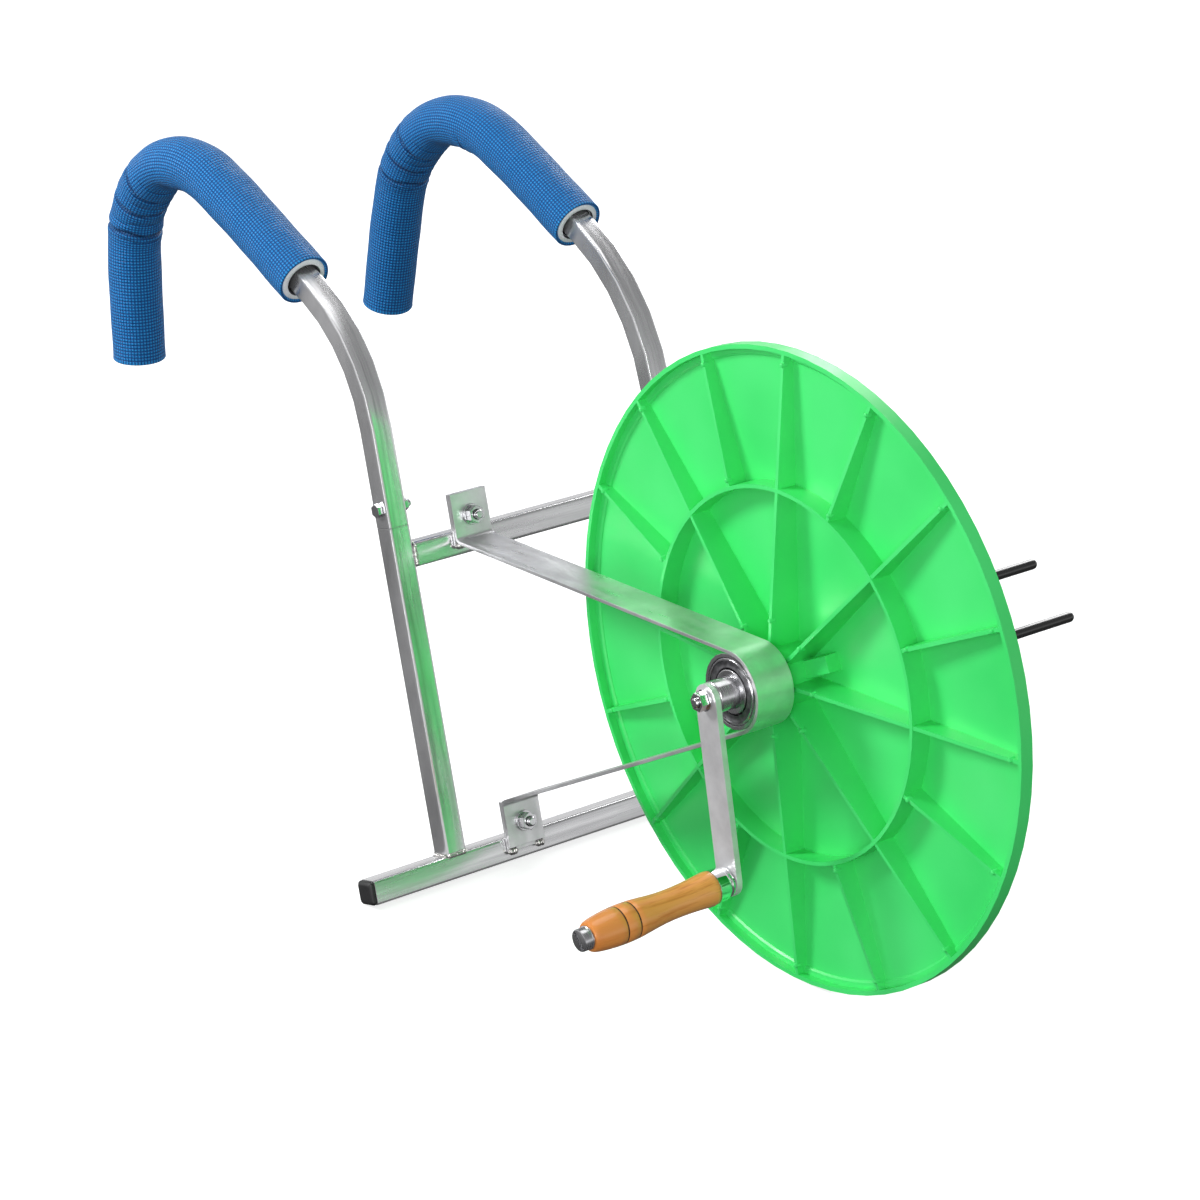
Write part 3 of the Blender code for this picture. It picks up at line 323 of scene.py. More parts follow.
# %% [markdown]
# ## Steel
#
# Steel comes in many dresses here. The strap and plates are zinc plated and satin, with rolling
# marks, and the crank arm is whiter. The tubes are brighter, with streaks along their length from
# drawing, and the two crossbars have theirs along X. Bolts, rings and shaft are ground. The
# bearing's shields are painted dark, as painted shade for the bearing's grooves. The ferrule is
# mirror chrome. Welds are rough and heat-stained. Fresh zinc has a thin dull film, so its metallic
# value stays a little below 1.

# %% Steel finishes
def make_satin_zinc(name, metallic):
    finish = new_finish(name, (0.66, 0.66, 0.67), 0.34, metallic)
    cloud = noise(finish, 26, detail=5, roughness=0.6)
    stops = ((0.3, (0.62, 0.62, 0.63)), (0.7, (0.86, 0.86, 0.875)))
    link(finish, tones(finish, cloud, stops), "Base Color")
    link(finish, spread(finish, noise(finish, 130, (1, 0.12, 0.12), detail=5), 0.26, 0.44), "Roughness")
    add_bump(finish, noise(finish, 900, (1, 0.05, 0.05)), 0.10, 0.0002)
    return finish


def make_bright_tube():
    finish = new_finish("bright_tube", (0.72, 0.72, 0.735), 0.24, 0.84)
    streaks = noise(finish, 210, (1, 0.05, 0.03), detail=6, roughness=0.65)
    stops = ((0.32, (0.52, 0.52, 0.53)), (0.6, (0.80, 0.80, 0.815)))
    link(finish, tones(finish, streaks, stops), "Base Color")
    link(finish, spread(finish, noise(finish, 90, (1, 0.2, 0.1), detail=4), 0.17, 0.33), "Roughness")
    add_bump(finish, noise(finish, 700, (1, 0.06, 0.03)), 0.06, 0.0002)
    return finish


def make_foot_bar():
    finish = new_finish("zinc_foot_bar", (0.66, 0.66, 0.67), 0.28, 0.84)
    streaks = noise(finish, 180, (0.03, 1, 1), detail=6, roughness=0.65)
    stops = ((0.3, (0.50, 0.50, 0.51)), (0.62, (0.76, 0.76, 0.77)))
    link(finish, tones(finish, streaks, stops), "Base Color")
    link(finish, spread(finish, noise(finish, 70, (0.1, 1, 1), detail=4), 0.18, 0.34), "Roughness")
    add_bump(finish, noise(finish, 600, (0.05, 1, 1)), 0.06, 0.0002)
    return finish


def make_ground_steel():
    finish = new_finish("ground_steel", (0.62, 0.62, 0.64), 0.18, 1.0)
    rings = noise(finish, 2600, (1, 0.02, 0.02), detail=2)
    link(finish, spread(finish, rings, 0.14, 0.30), "Roughness")
    stops = ((0.3, (0.50, 0.50, 0.51)), (0.7, (0.70, 0.70, 0.72)))
    link(finish, tones(finish, noise(finish, 60, detail=4), stops), "Base Color")
    add_bump(finish, rings, 0.05, 0.0001)
    return finish


# The shields' dark colour is painted shade for the dark lines of the bearing's grooves; the noise varies
# it at random.
def make_painted_shade_shield():
    finish = new_finish("painted_shade_shield", (0.16, 0.16, 0.165), 0.42, 0.9)
    film = noise(finish, 240, detail=5)
    stops = ((0.3, (0.09, 0.09, 0.095)), (0.7, (0.24, 0.24, 0.25)))
    link(finish, tones(finish, film, stops), "Base Color")
    add_bump(finish, film, 0.15, 0.0003)
    return finish


def make_mirror_chrome():
    finish = new_finish("mirror_chrome", (0.82, 0.83, 0.84), 0.06, 1.0)
    link(finish, spread(finish, noise(finish, 160, detail=4), 0.03, 0.12), "Roughness")
    return finish


def make_weld_metal():
    finish = new_finish("weld_metal", (0.58, 0.57, 0.55), 0.3, 1.0)
    stain = noise(finish, 420, detail=5, roughness=0.7)
    stops = ((0.32, (0.22, 0.21, 0.20)), (0.6, (0.78, 0.77, 0.75)))
    link(finish, tones(finish, stain, stops), "Base Color")
    link(finish, spread(finish, stain, 0.42, 0.14), "Roughness")
    add_bump(finish, noise(finish, 1500, detail=4), 0.5, 0.0006)
    return finish


# The less metallic a zinc is, the whiter and duller it looks
satin_zinc = make_satin_zinc("satin_zinc", 0.86)
frosted_zinc = make_satin_zinc("frosted_zinc", 0.55)
bright_tube = make_bright_tube()
foot_zinc = make_foot_bar()
ground_steel = make_ground_steel()
painted_shade_shield = make_painted_shade_shield()
mirror_chrome = make_mirror_chrome()
weld_metal = make_weld_metal()
print("steel finishes", 8)

# %% [markdown]
# ## Black coating, black plastic and foam
#
# The fork's rods are coated in a thick gloss black with slight orange peel. The plugs are a plainer
# black plastic. The foam is white and full of small closed cells, which show at its cut end. Its
# bore is painted nearly black, as painted shade, because little light gets in.

# %% Black finishes and foam
def make_black_coat():
    finish = new_finish("black_coat", (0.012, 0.012, 0.013), 0.24)
    shader_of(finish).inputs["Coat Weight"].default_value = 0.5
    shader_of(finish).inputs["Coat Roughness"].default_value = 0.12
    link(finish, spread(finish, noise(finish, 150), 0.20, 0.34), "Roughness")
    add_bump(finish, noise(finish, 420, detail=1), 0.2, 0.0003)
    return finish


def make_black_plastic():
    finish = new_finish("black_plastic", (0.016, 0.016, 0.017), 0.45)
    link(finish, spread(finish, noise(finish, 300, detail=4), 0.36, 0.56), "Roughness")
    add_bump(finish, noise(finish, 1800, detail=2), 0.2, 0.0002)
    return finish


FOAM_CELLS = 900.0


def make_foam():
    finish = new_finish("white_foam", (0.86, 0.88, 0.90), 0.85)
    place = add_node(finish, "ShaderNodeTexCoord")
    inputs = {"Vector": place.outputs["Object"], "Scale": FOAM_CELLS}
    cells = add_node(finish, "ShaderNodeTexVoronoi", inputs)
    value = cells.outputs["Distance"]
    stops = ((0.0, (0.90, 0.92, 0.94)), (0.8, (0.72, 0.75, 0.79)))
    link(finish, tones(finish, value, stops), "Base Color")
    add_bump(finish, value, 0.5, 0.0006)
    return finish


# The bore's near-black colour is painted shade, where little light gets into the foam.
def make_painted_shade_bore():
    finish = new_finish("painted_shade_bore", (0.05, 0.055, 0.065), 0.9)
    stops = ((0.3, (0.03, 0.033, 0.04)), (0.7, (0.10, 0.11, 0.12)))
    link(finish, tones(finish, noise(finish, 300), stops), "Base Color")
    return finish


black_coat = make_black_coat()
black_plastic = make_black_plastic()
white_foam = make_foam()
painted_shade_bore = make_painted_shade_bore()
print("black and foam finishes", 4)

# %% [markdown]
# ## Blue woven cover
#
# The pads are wrapped in a coated cloth with a small square grain, about 3 mm from one square to
# the next. The pattern has to run along and round the pad through every bend, so it reads the pad's
# own UV map, which is laid out in grain units. Each square is a little pillow, raised in the middle,
# and its colour carries a painted highlight on the raised tops and painted shade in the grooves
# between. Deep creases let in little light, so the pad's mesh will carry an attribute named crease,
# and the cloth's colour darkens by it as painted shade.

# %% Blue cover
# The darkest cover colour is painted shade in the grooves, the lightest a painted highlight on the pillow
# tops
COVER_GROOVE_SHADE = (0.002, 0.042, 0.165)
COVER_BLUE = (0.003, 0.128, 0.400)
COVER_TOP_HIGHLIGHT = (0.018, 0.270, 0.640)
# The crease colour is painted shade, laid over the cloth in the creases
COVER_CREASE_SHADE = (0.001, 0.022, 0.085)
# A pillow and its threads add up to about this height, and a colour ramp ends at 1
PILLOW_TOP = 1.3


def maths(finish, operation, *values):
    """One step of arithmetic on numbers or sockets."""
    inputs = dict(enumerate(values))
    return add_node(finish, "ShaderNodeMath", inputs, operation=operation).outputs[0]


def make_blue_cover():
    finish = new_finish("blue_cover", COVER_BLUE, 0.55)
    shader_of(finish).inputs["Specular IOR Level"].default_value = 0.25
    place = add_node(finish, "ShaderNodeTexCoord")
    split = add_node(finish, "ShaderNodeSeparateXYZ", {"Vector": place.outputs["UV"]})
    pillows = []
    for axis in ("X", "Y"):
        wave = maths(finish, "SINE", maths(finish, "MULTIPLY", split.outputs[axis], math.pi))
        pillows.append(maths(finish, "ABSOLUTE", wave))
    raised = maths(finish, "POWER", maths(finish, "MULTIPLY", *pillows), 0.6)
    thread = noise(finish, 900, detail=4, roughness=0.7)
    relief = maths(finish, "ADD", raised, maths(finish, "MULTIPLY", thread, 0.5))
    # The relief paints shade into the grooves and a highlight onto the pillow tops
    stops = ((0.35, COVER_GROOVE_SHADE), (0.85, COVER_BLUE), (1.0, COVER_BLUE), (1.18, COVER_TOP_HIGHLIGHT))
    stops = [(height / PILLOW_TOP, colour) for height, colour in stops]
    colour = tones(finish, maths(finish, "DIVIDE", relief, PILLOW_TOP), stops)
    # The crease attribute darkens the cloth's colour: painted shade in the creases
    crease = add_node(finish, "ShaderNodeAttribute", attribute_name="crease")
    link(finish, mix_colours(finish, crease.outputs["Fac"], colour, COVER_CREASE_SHADE), "Base Color")
    link(finish, spread(finish, noise(finish, 40, detail=3), 0.40, 0.58), "Roughness")
    shader_of(finish).inputs["Sheen Weight"].default_value = 0.05
    shader_of(finish).inputs["Sheen Roughness"].default_value = 0.4
    add_bump(finish, relief, 0.75, 0.0010)
    return finish


blue_cover = make_blue_cover()
print(blue_cover.name)

# %% [markdown]
# ## Varnished wood
#
# The grip is turned from a plain hardwood. Fibres run along it, so the noise is stretched along X
# into darker streaks. The varnish is thicker and more orange towards the free end. A clear coat
# carries the gloss, while the wood below stays rough. Two lines burnt round the grip get a finish
# of their own, nearly black.

# %% Wood
WOOD_PALE = (0.880, 0.370, 0.090)
WOOD_DEEP = (0.620, 0.190, 0.034)
WOOD_ORANGE = (0.720, 0.245, 0.042)
VARNISH_MOST = 0.85


def make_wood():
    finish = new_finish("varnished_wood", WOOD_PALE, 0.42)
    fibre = noise(finish, 260, (0.06, 1, 1), detail=6, roughness=0.6)
    figure = tones(finish, fibre, ((0.34, WOOD_DEEP), (0.5, WOOD_PALE), (0.72, WOOD_PALE)))
    place = add_node(finish, "ShaderNodeTexCoord")
    split = add_node(finish, "ShaderNodeSeparateXYZ", {"Vector": place.outputs["Object"]})
    low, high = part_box("wooden_grip")
    inputs = {"Value": split.outputs["X"], "From Min": high.x, "From Max": low.x, "To Max": VARNISH_MOST}
    share = add_node(finish, "ShaderNodeMapRange", inputs).outputs["Result"]
    link(finish, mix_colours(finish, share, figure, WOOD_ORANGE), "Base Color")
    shader_of(finish).inputs["Coat Weight"].default_value = 0.8
    shader_of(finish).inputs["Coat Roughness"].default_value = 0.13
    add_bump(finish, noise(finish, 1100, (0.05, 1, 1), detail=3), 0.15, 0.0003)
    return finish


def make_burnt_line():
    finish = new_finish("burnt_line", (0.060, 0.022, 0.008), 0.6)
    stops = ((0.3, (0.04, 0.014, 0.005)), (0.7, (0.11, 0.04, 0.014)))
    link(finish, tones(finish, noise(finish, 500), stops), "Base Color")
    return finish


varnished_wood = make_wood()
burnt_line = make_burnt_line()
print(varnished_wood.name, burnt_line.name)

# %% [markdown]
# ## Softened steel and plastic pieces
#
# The engineering solids have razor-sharp edges, which no stamped, drawn or moulded piece has. An
# edge catches light only if it is rounded a little. The shapes of the tubes, plates, bolts and the
# disc are right already, so a copy of each is cleaned of doubled points, its flat triangles are
# merged, and its sharp edges get a small bevel. The bevel's width says how the piece was made:
# sheet steel 0.5 mm, tubes and bolts 0.4 mm, moulded ribs 0.7 mm, plugs 1.2 mm. Weighted normals
# then keep the wide faces flat in the light, so that only the bevels shade round.

# %% Softened copies
SLOTS = {part["node"]: part["material_slot"] for part in frame["record"]["subparts"]}
SAME_POINT = 0.002 * MM
FLAT_ANGLE = math.radians(0.6)
SMOOTH_ANGLE = math.radians(35)


def select_only(piece):
    if bpy.context.mode != "OBJECT":
        bpy.ops.object.mode_set(mode="OBJECT")
    bpy.ops.object.select_all(action="DESELECT")
    piece.select_set(True)
    bpy.context.view_layer.objects.active = piece


def round_edges(piece, width):
    select_only(piece)
    bevel = piece.modifiers.new("soft_edges", "BEVEL")
    bevel.width = width
    bevel.segments = 2
    bevel.limit_method = "ANGLE"
    bevel.angle_limit = math.radians(30)
    bpy.ops.object.modifier_apply(modifier=bevel.name)


def dress(piece, finish, body, slot, *nodes):
    """Give a piece its finish and its body, and hide the CAD nodes that it stands for. The slot argument
    is not used.
    """
    piece.data.materials.clear()
    piece.data.materials.append(finish)
    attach(piece, body)
    if nodes:
        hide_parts(*nodes)
    return piece


def softened(node, finish, width):
    """A copy of a CAD node with its sharp edges rounded."""
    source = frame["nodes"][node]
    piece = bpy.data.objects.new(f"{node}_skin", source.data.copy())
    bpy.context.scene.collection.objects.link(piece)
    select_only(piece)
    bpy.ops.mesh.customdata_custom_splitnormals_clear()
    bpy.ops.object.mode_set(mode="EDIT")
    bpy.ops.mesh.select_all(action="SELECT")
    bpy.ops.mesh.remove_doubles(threshold=SAME_POINT)
    bpy.ops.mesh.dissolve_limited(angle_limit=FLAT_ANGLE)
    bpy.ops.object.mode_set(mode="OBJECT")
    round_edges(piece, width)
    bpy.ops.object.shade_smooth_by_angle(angle=SMOOTH_ANGLE)
    level = piece.modifiers.new("level_faces", "WEIGHTED_NORMAL")
    level.keep_sharp = True
    bpy.ops.object.modifier_apply(modifier=level.name)
    return dress(piece, finish, source["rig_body"], SLOTS[node], node)


# Each row: a finish, the width of its rounded edges in mm, and the nodes
SOFTENED = (
    (satin_zinc, 0.5, ("bearing_strap", "mount_plate_upper", "mount_plate_lower")),
    (frosted_zinc, 0.5, ("crank_arm",)),
    (satin_zinc, 0.4, ("hub_flange", "disc_screw_1", "disc_screw_2", "disc_screw_3", "disc_screw_4")),
    (bright_tube, 0.4, ("upright_left", "upright_right", "hook_tube_left", "hook_tube_right")),
    (foot_zinc, 0.4, ("upper_crossbar", "lower_crossbar", "spigot_left", "spigot_right")),
    (ground_steel, 0.4, ("hook_bolt_left", "hook_bolt_right", "hook_nut_left", "hook_nut_right")),
    (ground_steel, 0.4, ("bracket_bolt_upper", "bracket_bolt_lower", "bracket_nut_upper")),
    (ground_steel, 0.4, ("bracket_nut_lower", "crank_nut", "crank_stud")),
    (ground_steel, 0.3, ("bracket_washer_upper", "bracket_washer_lower", "crank_washer")),
    (black_plastic, 1.2, ("foot_plug_left", "foot_plug_right", "hook_plug_left", "hook_plug_right")),
    (moulded_green, 0.7, ("reel_disc",)),
)
for finish, width, names in SOFTENED:
    for name in names:
        softened(name, finish, width * MM)
print("softened pieces", sum(len(names) for _, _, names in SOFTENED))

# %% [markdown]
# ## Turned pieces
#
# The shaft, the bearing's rings, the fork's rods, the ferrule and the wooden grip are round. Each
# is drawn as a lathe would cut it: a circle is added at one end and extruded along the axis, and
# every new ring is scaled to the profile's next radius. The rings at the two ends are bridged for a
# hollow piece, and filled for a solid one.

# %% Lathe
ROUND = 96


def span_of(node, point, way):
    """Where a CAD piece starts and ends along an axis, and its greatest radius about it."""
    places = [vertex.co - point for vertex in frame["nodes"][node].data.vertices]
    along = [place.dot(way) for place in places]
    radius = max((place - way * place.dot(way)).length for place in places)
    return min(along), max(along), radius


def lathe(name, profile, point, way, sides=64, hollow=False, edge=0.0):
    """Turn a profile of (distance along the axis, radius) points about a line."""
    bpy.ops.object.select_all(action="DESELECT")
    first, radius = profile[0]
    bpy.ops.mesh.primitive_circle_add(vertices=sides, radius=radius, location=(0, 0, 0))
    piece = bpy.context.active_object
    piece.name = name
    bpy.ops.object.mode_set(mode="EDIT")
    bpy.ops.mesh.select_all(action="SELECT")
    bpy.ops.transform.translate(value=(0, 0, first))
    for distance, wanted in profile[1:]:
        bpy.ops.mesh.extrude_edges_move(TRANSFORM_OT_translate={"value": (0, 0, distance - first)})
        share = wanted / radius
        bpy.ops.transform.resize(value=(share, share, 1), center_override=(0, 0, distance))
        first, radius = distance, wanted
    bpy.ops.mesh.select_all(action="DESELECT")
    bpy.ops.mesh.select_non_manifold()
    if hollow:
        bpy.ops.mesh.bridge_edge_loops()
    else:
        bpy.ops.mesh.fill_holes(sides=0)
    bpy.ops.mesh.select_all(action="SELECT")
    bpy.ops.mesh.normals_make_consistent(inside=False)
    bpy.ops.object.mode_set(mode="OBJECT")
    piece.rotation_euler = way.to_track_quat("Z", "Y").to_euler()
    piece.location = point
    select_only(piece)
    bpy.ops.object.transform_apply(location=True, rotation=True, scale=True)
    if edge:
        round_edges(piece, edge)
    bpy.ops.object.shade_smooth_by_angle(angle=SMOOTH_ANGLE)
    return piece


print("lathe ready")

# %% [markdown]
# ## Shaft and bearing
#
# From the crank's side the strap's mouth shows a set of rings: the strap's liner, the bearing's
# bright outer race, a thin groove, the shield painted dark as painted shade, a groove again, the
# inner race and the shaft.
# The grooves matter most, because they give the dark lines that make a bearing read as one. The
# races are softened copies. A shield is turned, with a sunk face between two narrow lips, and so is
# the shaft, whose near end has a chamfer and a hole for the crank's stud.

# %% Bearing rings and shaft
RACE_EDGE = 0.5 * MM
STUD_HOLE_DEPTH = 22 * MM
STUD_GAP = 0.3 * MM


def bore_of(node):
    """The radius of a ring's hole."""
    places = [vertex.co - SHAFT for vertex in frame["nodes"][node].data.vertices]
    return min((place - SHAFT_WAY * place.dot(SHAFT_WAY)).length for place in places)


def make_shield(side):
    node = f"bearing_shield_{side}"
    low, high, radius = span_of(node, SHAFT, SHAFT_WAY)
    bore = bore_of(node)
    outward, inward = (low, high) if side == "near" else (high, low)
    sunk = outward + 0.25 * (inward - outward)
    profile = [
        (outward, bore), (outward, bore + 0.9 * MM), (sunk, bore + 1.4 * MM),
        (sunk, radius - 1.6 * MM), (outward, radius - 1.1 * MM), (outward, radius),
        (inward, radius), (inward, bore),
    ]
    shield = lathe(f"{node}_skin", profile, SHAFT, SHAFT_WAY, ROUND, True)
    # The shield takes the dark finish that carries painted shade.
    dress(shield, painted_shade_shield, "frame", SLOTS[node], node)


for side in ("near", "far"):
    softened(f"outer_race_{side}", ground_steel, RACE_EDGE)
    softened(f"inner_race_{side}", ground_steel, RACE_EDGE)
    make_shield(side)
    softened(f"ball_cage_{side}", ground_steel, 0.1 * MM)
softened("bearing_housing", ground_steel, 0.4 * MM)

low, high, radius = span_of("hub_spacer", SHAFT, SHAFT_WAY)
bore = bore_of("hub_spacer")
profile = [(low, bore), (low, radius), (high, radius), (high, bore)]
spacer = lathe("hub_spacer_skin", profile, SHAFT, SHAFT_WAY, ROUND, True, 0.3 * MM)
dress(spacer, ground_steel, "reel", SLOTS["hub_spacer"], "hub_spacer")

low, high, radius = span_of("shaft", SHAFT, SHAFT_WAY)
hole = span_of("crank_stud", SHAFT, SHAFT_WAY)[2] + STUD_GAP
profile = [
    (low + STUD_HOLE_DEPTH, hole), (low, hole), (low, radius - 1.2 * MM),
    (low + 0.5 * MM, radius - 0.4 * MM), (low + 1.1 * MM, radius),
    (high - 0.8 * MM, radius), (high, radius - 0.8 * MM),
]
shaft = lathe("shaft_skin", profile, SHAFT, SHAFT_WAY, ROUND)
dress(shaft, ground_steel, "reel", SLOTS["shaft"], "shaft")
print("shaft from", round(low / MM, 1), "to", round(high / MM, 1), "mm")

# %% [markdown]
# ## Fork rods
#
# The two rods that carry the hose are plain round bar with a thick coat of gloss black. Their free
# ends are rounded so that the hose slips on: the profile's last points follow a quarter circle. At
# the flange a rod is a little narrower for half a millimetre.

# %% Fork rods
ROD_NOSE_STEPS = 7
for name in ("fork_rod_front", "fork_rod_back"):
    low_corner, high_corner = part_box(name)
    middle = (low_corner + high_corner) / 2
    start = Vector((low_corner.x, middle.y, middle.z))
    length = high_corner.x - low_corner.x
    radius = (high_corner.z - low_corner.z) / 2
    profile = [(0, radius * 0.96), (0.5 * MM, radius), (6 * MM, radius)]
    for step in range(ROD_NOSE_STEPS):
        turn = math.radians(86) * step / (ROD_NOSE_STEPS - 1)
        profile.append((length - radius * (1 - math.sin(turn)), radius * math.cos(turn)))
    rod = lathe(f"{name}_skin", profile, start, SHAFT_WAY, 32)
    dress(rod, black_coat, "reel", SLOTS[name], name)
    print(name, round(length / MM, 1), "mm long")

# %% [markdown]
# ## Wooden grip and its fittings
#
# The grip swells twice, at the ferrule and at the palm, and has two thin lines burnt into the thick
# part with a wire. The lines are cut in the profile, and the faces between their edges get the
# dark finish. The ferrule is a pressed chrome cup with a rolled end, and the collar behind it is
# chrome too, with a groove round its middle.

# %% Grip
GRIP_LENGTH = 114.5 * MM
# The wood's profile: the share of its length from the ferrule, and the radius in mm
GRIP_SHAPE = (
    (0.0, 12.9), (0.008, 13.35), (0.03, 13.5), (0.12, 12.6), (0.20, 12.0), (0.28, 11.7), (0.35, 11.7),
    (0.42, 12.0), (0.49, 12.7), (0.56, 13.6), (0.61, 14.2), (0.648, 14.55), (0.655, 14.1),
    (0.662, 14.1), (0.669, 14.65), (0.71, 14.8), (0.752, 14.8), (0.759, 14.3), (0.766, 14.3),
    (0.773, 14.78), (0.82, 14.5), (0.88, 13.9), (0.93, 13.2), (0.965, 12.5), (0.985, 11.9), (0.996, 11.2),
)
# The shares of that length between which the wood is burnt
BURNT_AT = ((0.652, 0.666), (0.756, 0.770))
NECK_RADIUS = 11.8 * MM
NECK_LENGTH = 8.2 * MM
# The ferrule's profile: mm back from its mouth, and the radius in mm
FERRULE_SHAPE = (
    (0.0, 13.15), (0.25, 13.2), (0.6, 13.15), (1.2, 12.95), (8.8, 12.8), (9.9, 12.5), (10.6, 12.0),
    (11.0, 11.2),
)
COLLAR_BORE = 5.1 * MM

_, grip_far, _ = span_of("wooden_grip", GRIP, GRIP_WAY)
ferrule_near, ferrule_far, _ = span_of("grip_ferrule", GRIP, GRIP_WAY)
print("ferrule from", round(ferrule_near / MM, 1), "to", round(ferrule_far / MM, 1), "mm")
shoulder = grip_far - GRIP_LENGTH
profile = [(ferrule_far - NECK_LENGTH, NECK_RADIUS), (shoulder, NECK_RADIUS)]
profile += [(shoulder + share * GRIP_LENGTH, radius * MM) for share, radius in GRIP_SHAPE]
profile += [(grip_far, 9.6 * MM), (grip_far, 6.2 * MM)]
wood = lathe("wooden_grip_skin", profile, GRIP, GRIP_WAY, ROUND)
dress(wood, varnished_wood, "grip", SLOTS["wooden_grip"], "wooden_grip")
wood.data.materials.append(burnt_line)
for face in wood.data.polygons:
    share = ((face.center - GRIP).dot(GRIP_WAY) - shoulder) / GRIP_LENGTH
    face.material_index = int(any(low < share < high for low, high in BURNT_AT))

profile = [(ferrule_far - place * MM, radius * MM) for place, radius in FERRULE_SHAPE]
profile += [
    (ferrule_near, 5.4 * MM), (ferrule_near + 1.2 * MM, 5.4 * MM),
    (ferrule_near + 1.2 * MM, 11 * MM), (ferrule_near + 2.4 * MM, 12.1 * MM), (ferrule_far, 12.1 * MM),
]
ferrule = lathe("grip_ferrule_skin", profile, GRIP, GRIP_WAY, ROUND, True)
dress(ferrule, mirror_chrome, "grip", SLOTS["grip_ferrule"], "grip_ferrule")

low, high, radius = span_of("grip_collar", GRIP, GRIP_WAY)
middle = (low + high) / 2
profile = [
    (low, COLLAR_BORE), (low, radius - 0.7 * MM), (low + 0.35 * MM, radius - 0.15 * MM),
    (middle - 0.3 * MM, radius), (middle, radius - 0.6 * MM), (middle + 0.3 * MM, radius),
    (high - 0.35 * MM, radius - 0.15 * MM), (high, radius - 0.7 * MM), (high, COLLAR_BORE),
]
collar = lathe("grip_collar_skin", profile, GRIP, GRIP_WAY, ROUND, True)
dress(collar, mirror_chrome, "reel", SLOTS["grip_collar"], "grip_collar")
softened("grip_spindle", ground_steel, 0.4 * MM)
print("grip", round((grip_far - shoulder) / MM, 1), "mm of wood outside the ferrule")

# %% [markdown]
# ## The slotted nut at the grip's free end
#
# A round nut with a screwdriver slot holds the grip on its spindle. The blank is turned first, with
# a flange that covers the wood's end. Two bisects cut a strip across its face, and the strip,
# selected by place, is pushed in.

# %% Slotted nut
SLOT_HALF = 1.3 * MM
SLOT_DEPTH = 1.8 * MM
# The slot's turn about the grip's axis, in degrees
SLOT_TURN = 38

low, high, radius = span_of("grip_end_nut", GRIP, GRIP_WAY)
profile = [
    (low, 5.2 * MM), (low, radius), (low + 0.9 * MM, radius), (low + 1.3 * MM, radius - 0.5 * MM),
    (high - 1.0 * MM, radius - 0.5 * MM), (high - 0.3 * MM, radius - 0.8 * MM), (high, radius - 1.4 * MM),
]
nut = lathe("grip_end_nut_skin", profile, GRIP, GRIP_WAY, 64)
face_middle = GRIP + GRIP_WAY * high
across = GRIP_WAY.cross(Vector((0, 0, 1))).normalized()
across.rotate(Matrix.Rotation(math.radians(SLOT_TURN), 3, GRIP_WAY))
select_only(nut)
bpy.ops.object.mode_set(mode="EDIT")
for side in (-1, 1):
    bpy.ops.mesh.select_all(action="SELECT")
    bpy.ops.mesh.bisect(plane_co=face_middle + across * SLOT_HALF * side, plane_no=across)
bpy.ops.mesh.select_all(action="DESELECT")
bpy.ops.object.mode_set(mode="OBJECT")
for face in nut.data.polygons:
    reach = face.center - face_middle
    face.select = abs(reach.dot(across)) < SLOT_HALF and reach.dot(GRIP_WAY) > -0.1 * MM
bpy.ops.object.mode_set(mode="EDIT")
bpy.ops.mesh.extrude_region_move(TRANSFORM_OT_translate={"value": -GRIP_WAY * SLOT_DEPTH})
bpy.ops.mesh.select_all(action="SELECT")
bpy.ops.mesh.normals_make_consistent(inside=False)
bpy.ops.object.mode_set(mode="OBJECT")
bpy.ops.object.shade_smooth_by_angle(angle=math.radians(30))
dress(nut, ground_steel, "reel", SLOTS["grip_end_nut"], "grip_end_nut")
print("nut faces", len(nut.data.polygons))

# %% [markdown]
# ## Weld beads
#
# The frame is welded, and the beads show: a short rippled roll of metal in each corner where two
# tubes or a tube and a plate meet. One bead is a lathe piece whose radius rises and falls about
# every 2 mm, as a welder's pauses leave it, and it tapers at both ends. Half of it is sunk in the
# corner. The frame leans, so a corner's place is counted along three directions of the frame's own:
# across, out from the back and up along the lean.

# %% Weld beads
LEAN_OUT = Vector(MOUNTS["lower_crossbar_back"]["axis"]).normalized()
LEAN_UP = Vector((1, 0, 0)).cross(LEAN_OUT).normalized()
ACROSS = Vector((1, 0, 0))
BEAD_STEP = 0.55 * MM
RIPPLE = 1.9 * MM
FOOT_BEAD, FOOT_SIDE_BEAD, BAR_BEAD, PLATE_BEAD = 2.1 * MM, 2.0 * MM, 1.8 * MM, 3.2 * MM
FOOT_INSET, BAR_INSET = 1 * MM, 1.5 * MM
rng = random.Random(4)
weld_beads = []


def bead(name, start, end, radius):
    length = (end - start).length
    steps = max(6, round(length / BEAD_STEP))
    profile = []
    for step in range(steps + 1):
        place = length * step / steps
        taper = min(1, 0.35 + 2.2 * min(place, length - place) / radius / 2)
        wave = 0.86 + 0.14 * abs(math.sin(math.pi * place / RIPPLE)) + rng.uniform(-0.05, 0.05)
        profile.append((place, radius * taper * wave))
    piece = lathe(name, profile, start, (end - start).normalized(), 14)
    weld_beads.append(dress(piece, weld_metal, "frame", "zinc_steel"))


def reach_of(node, *ways):
    """The lowest and highest place of a CAD piece along each direction."""
    places = [vertex.co for vertex in frame["nodes"][node].data.vertices]
    along = [[place.dot(way) for place in places] for way in ways]
    return [(min(values), max(values)) for values in along]


def corner_at(x, out, up):
    return Vector((x, 0, 0)) + LEAN_OUT * out + LEAN_UP * up


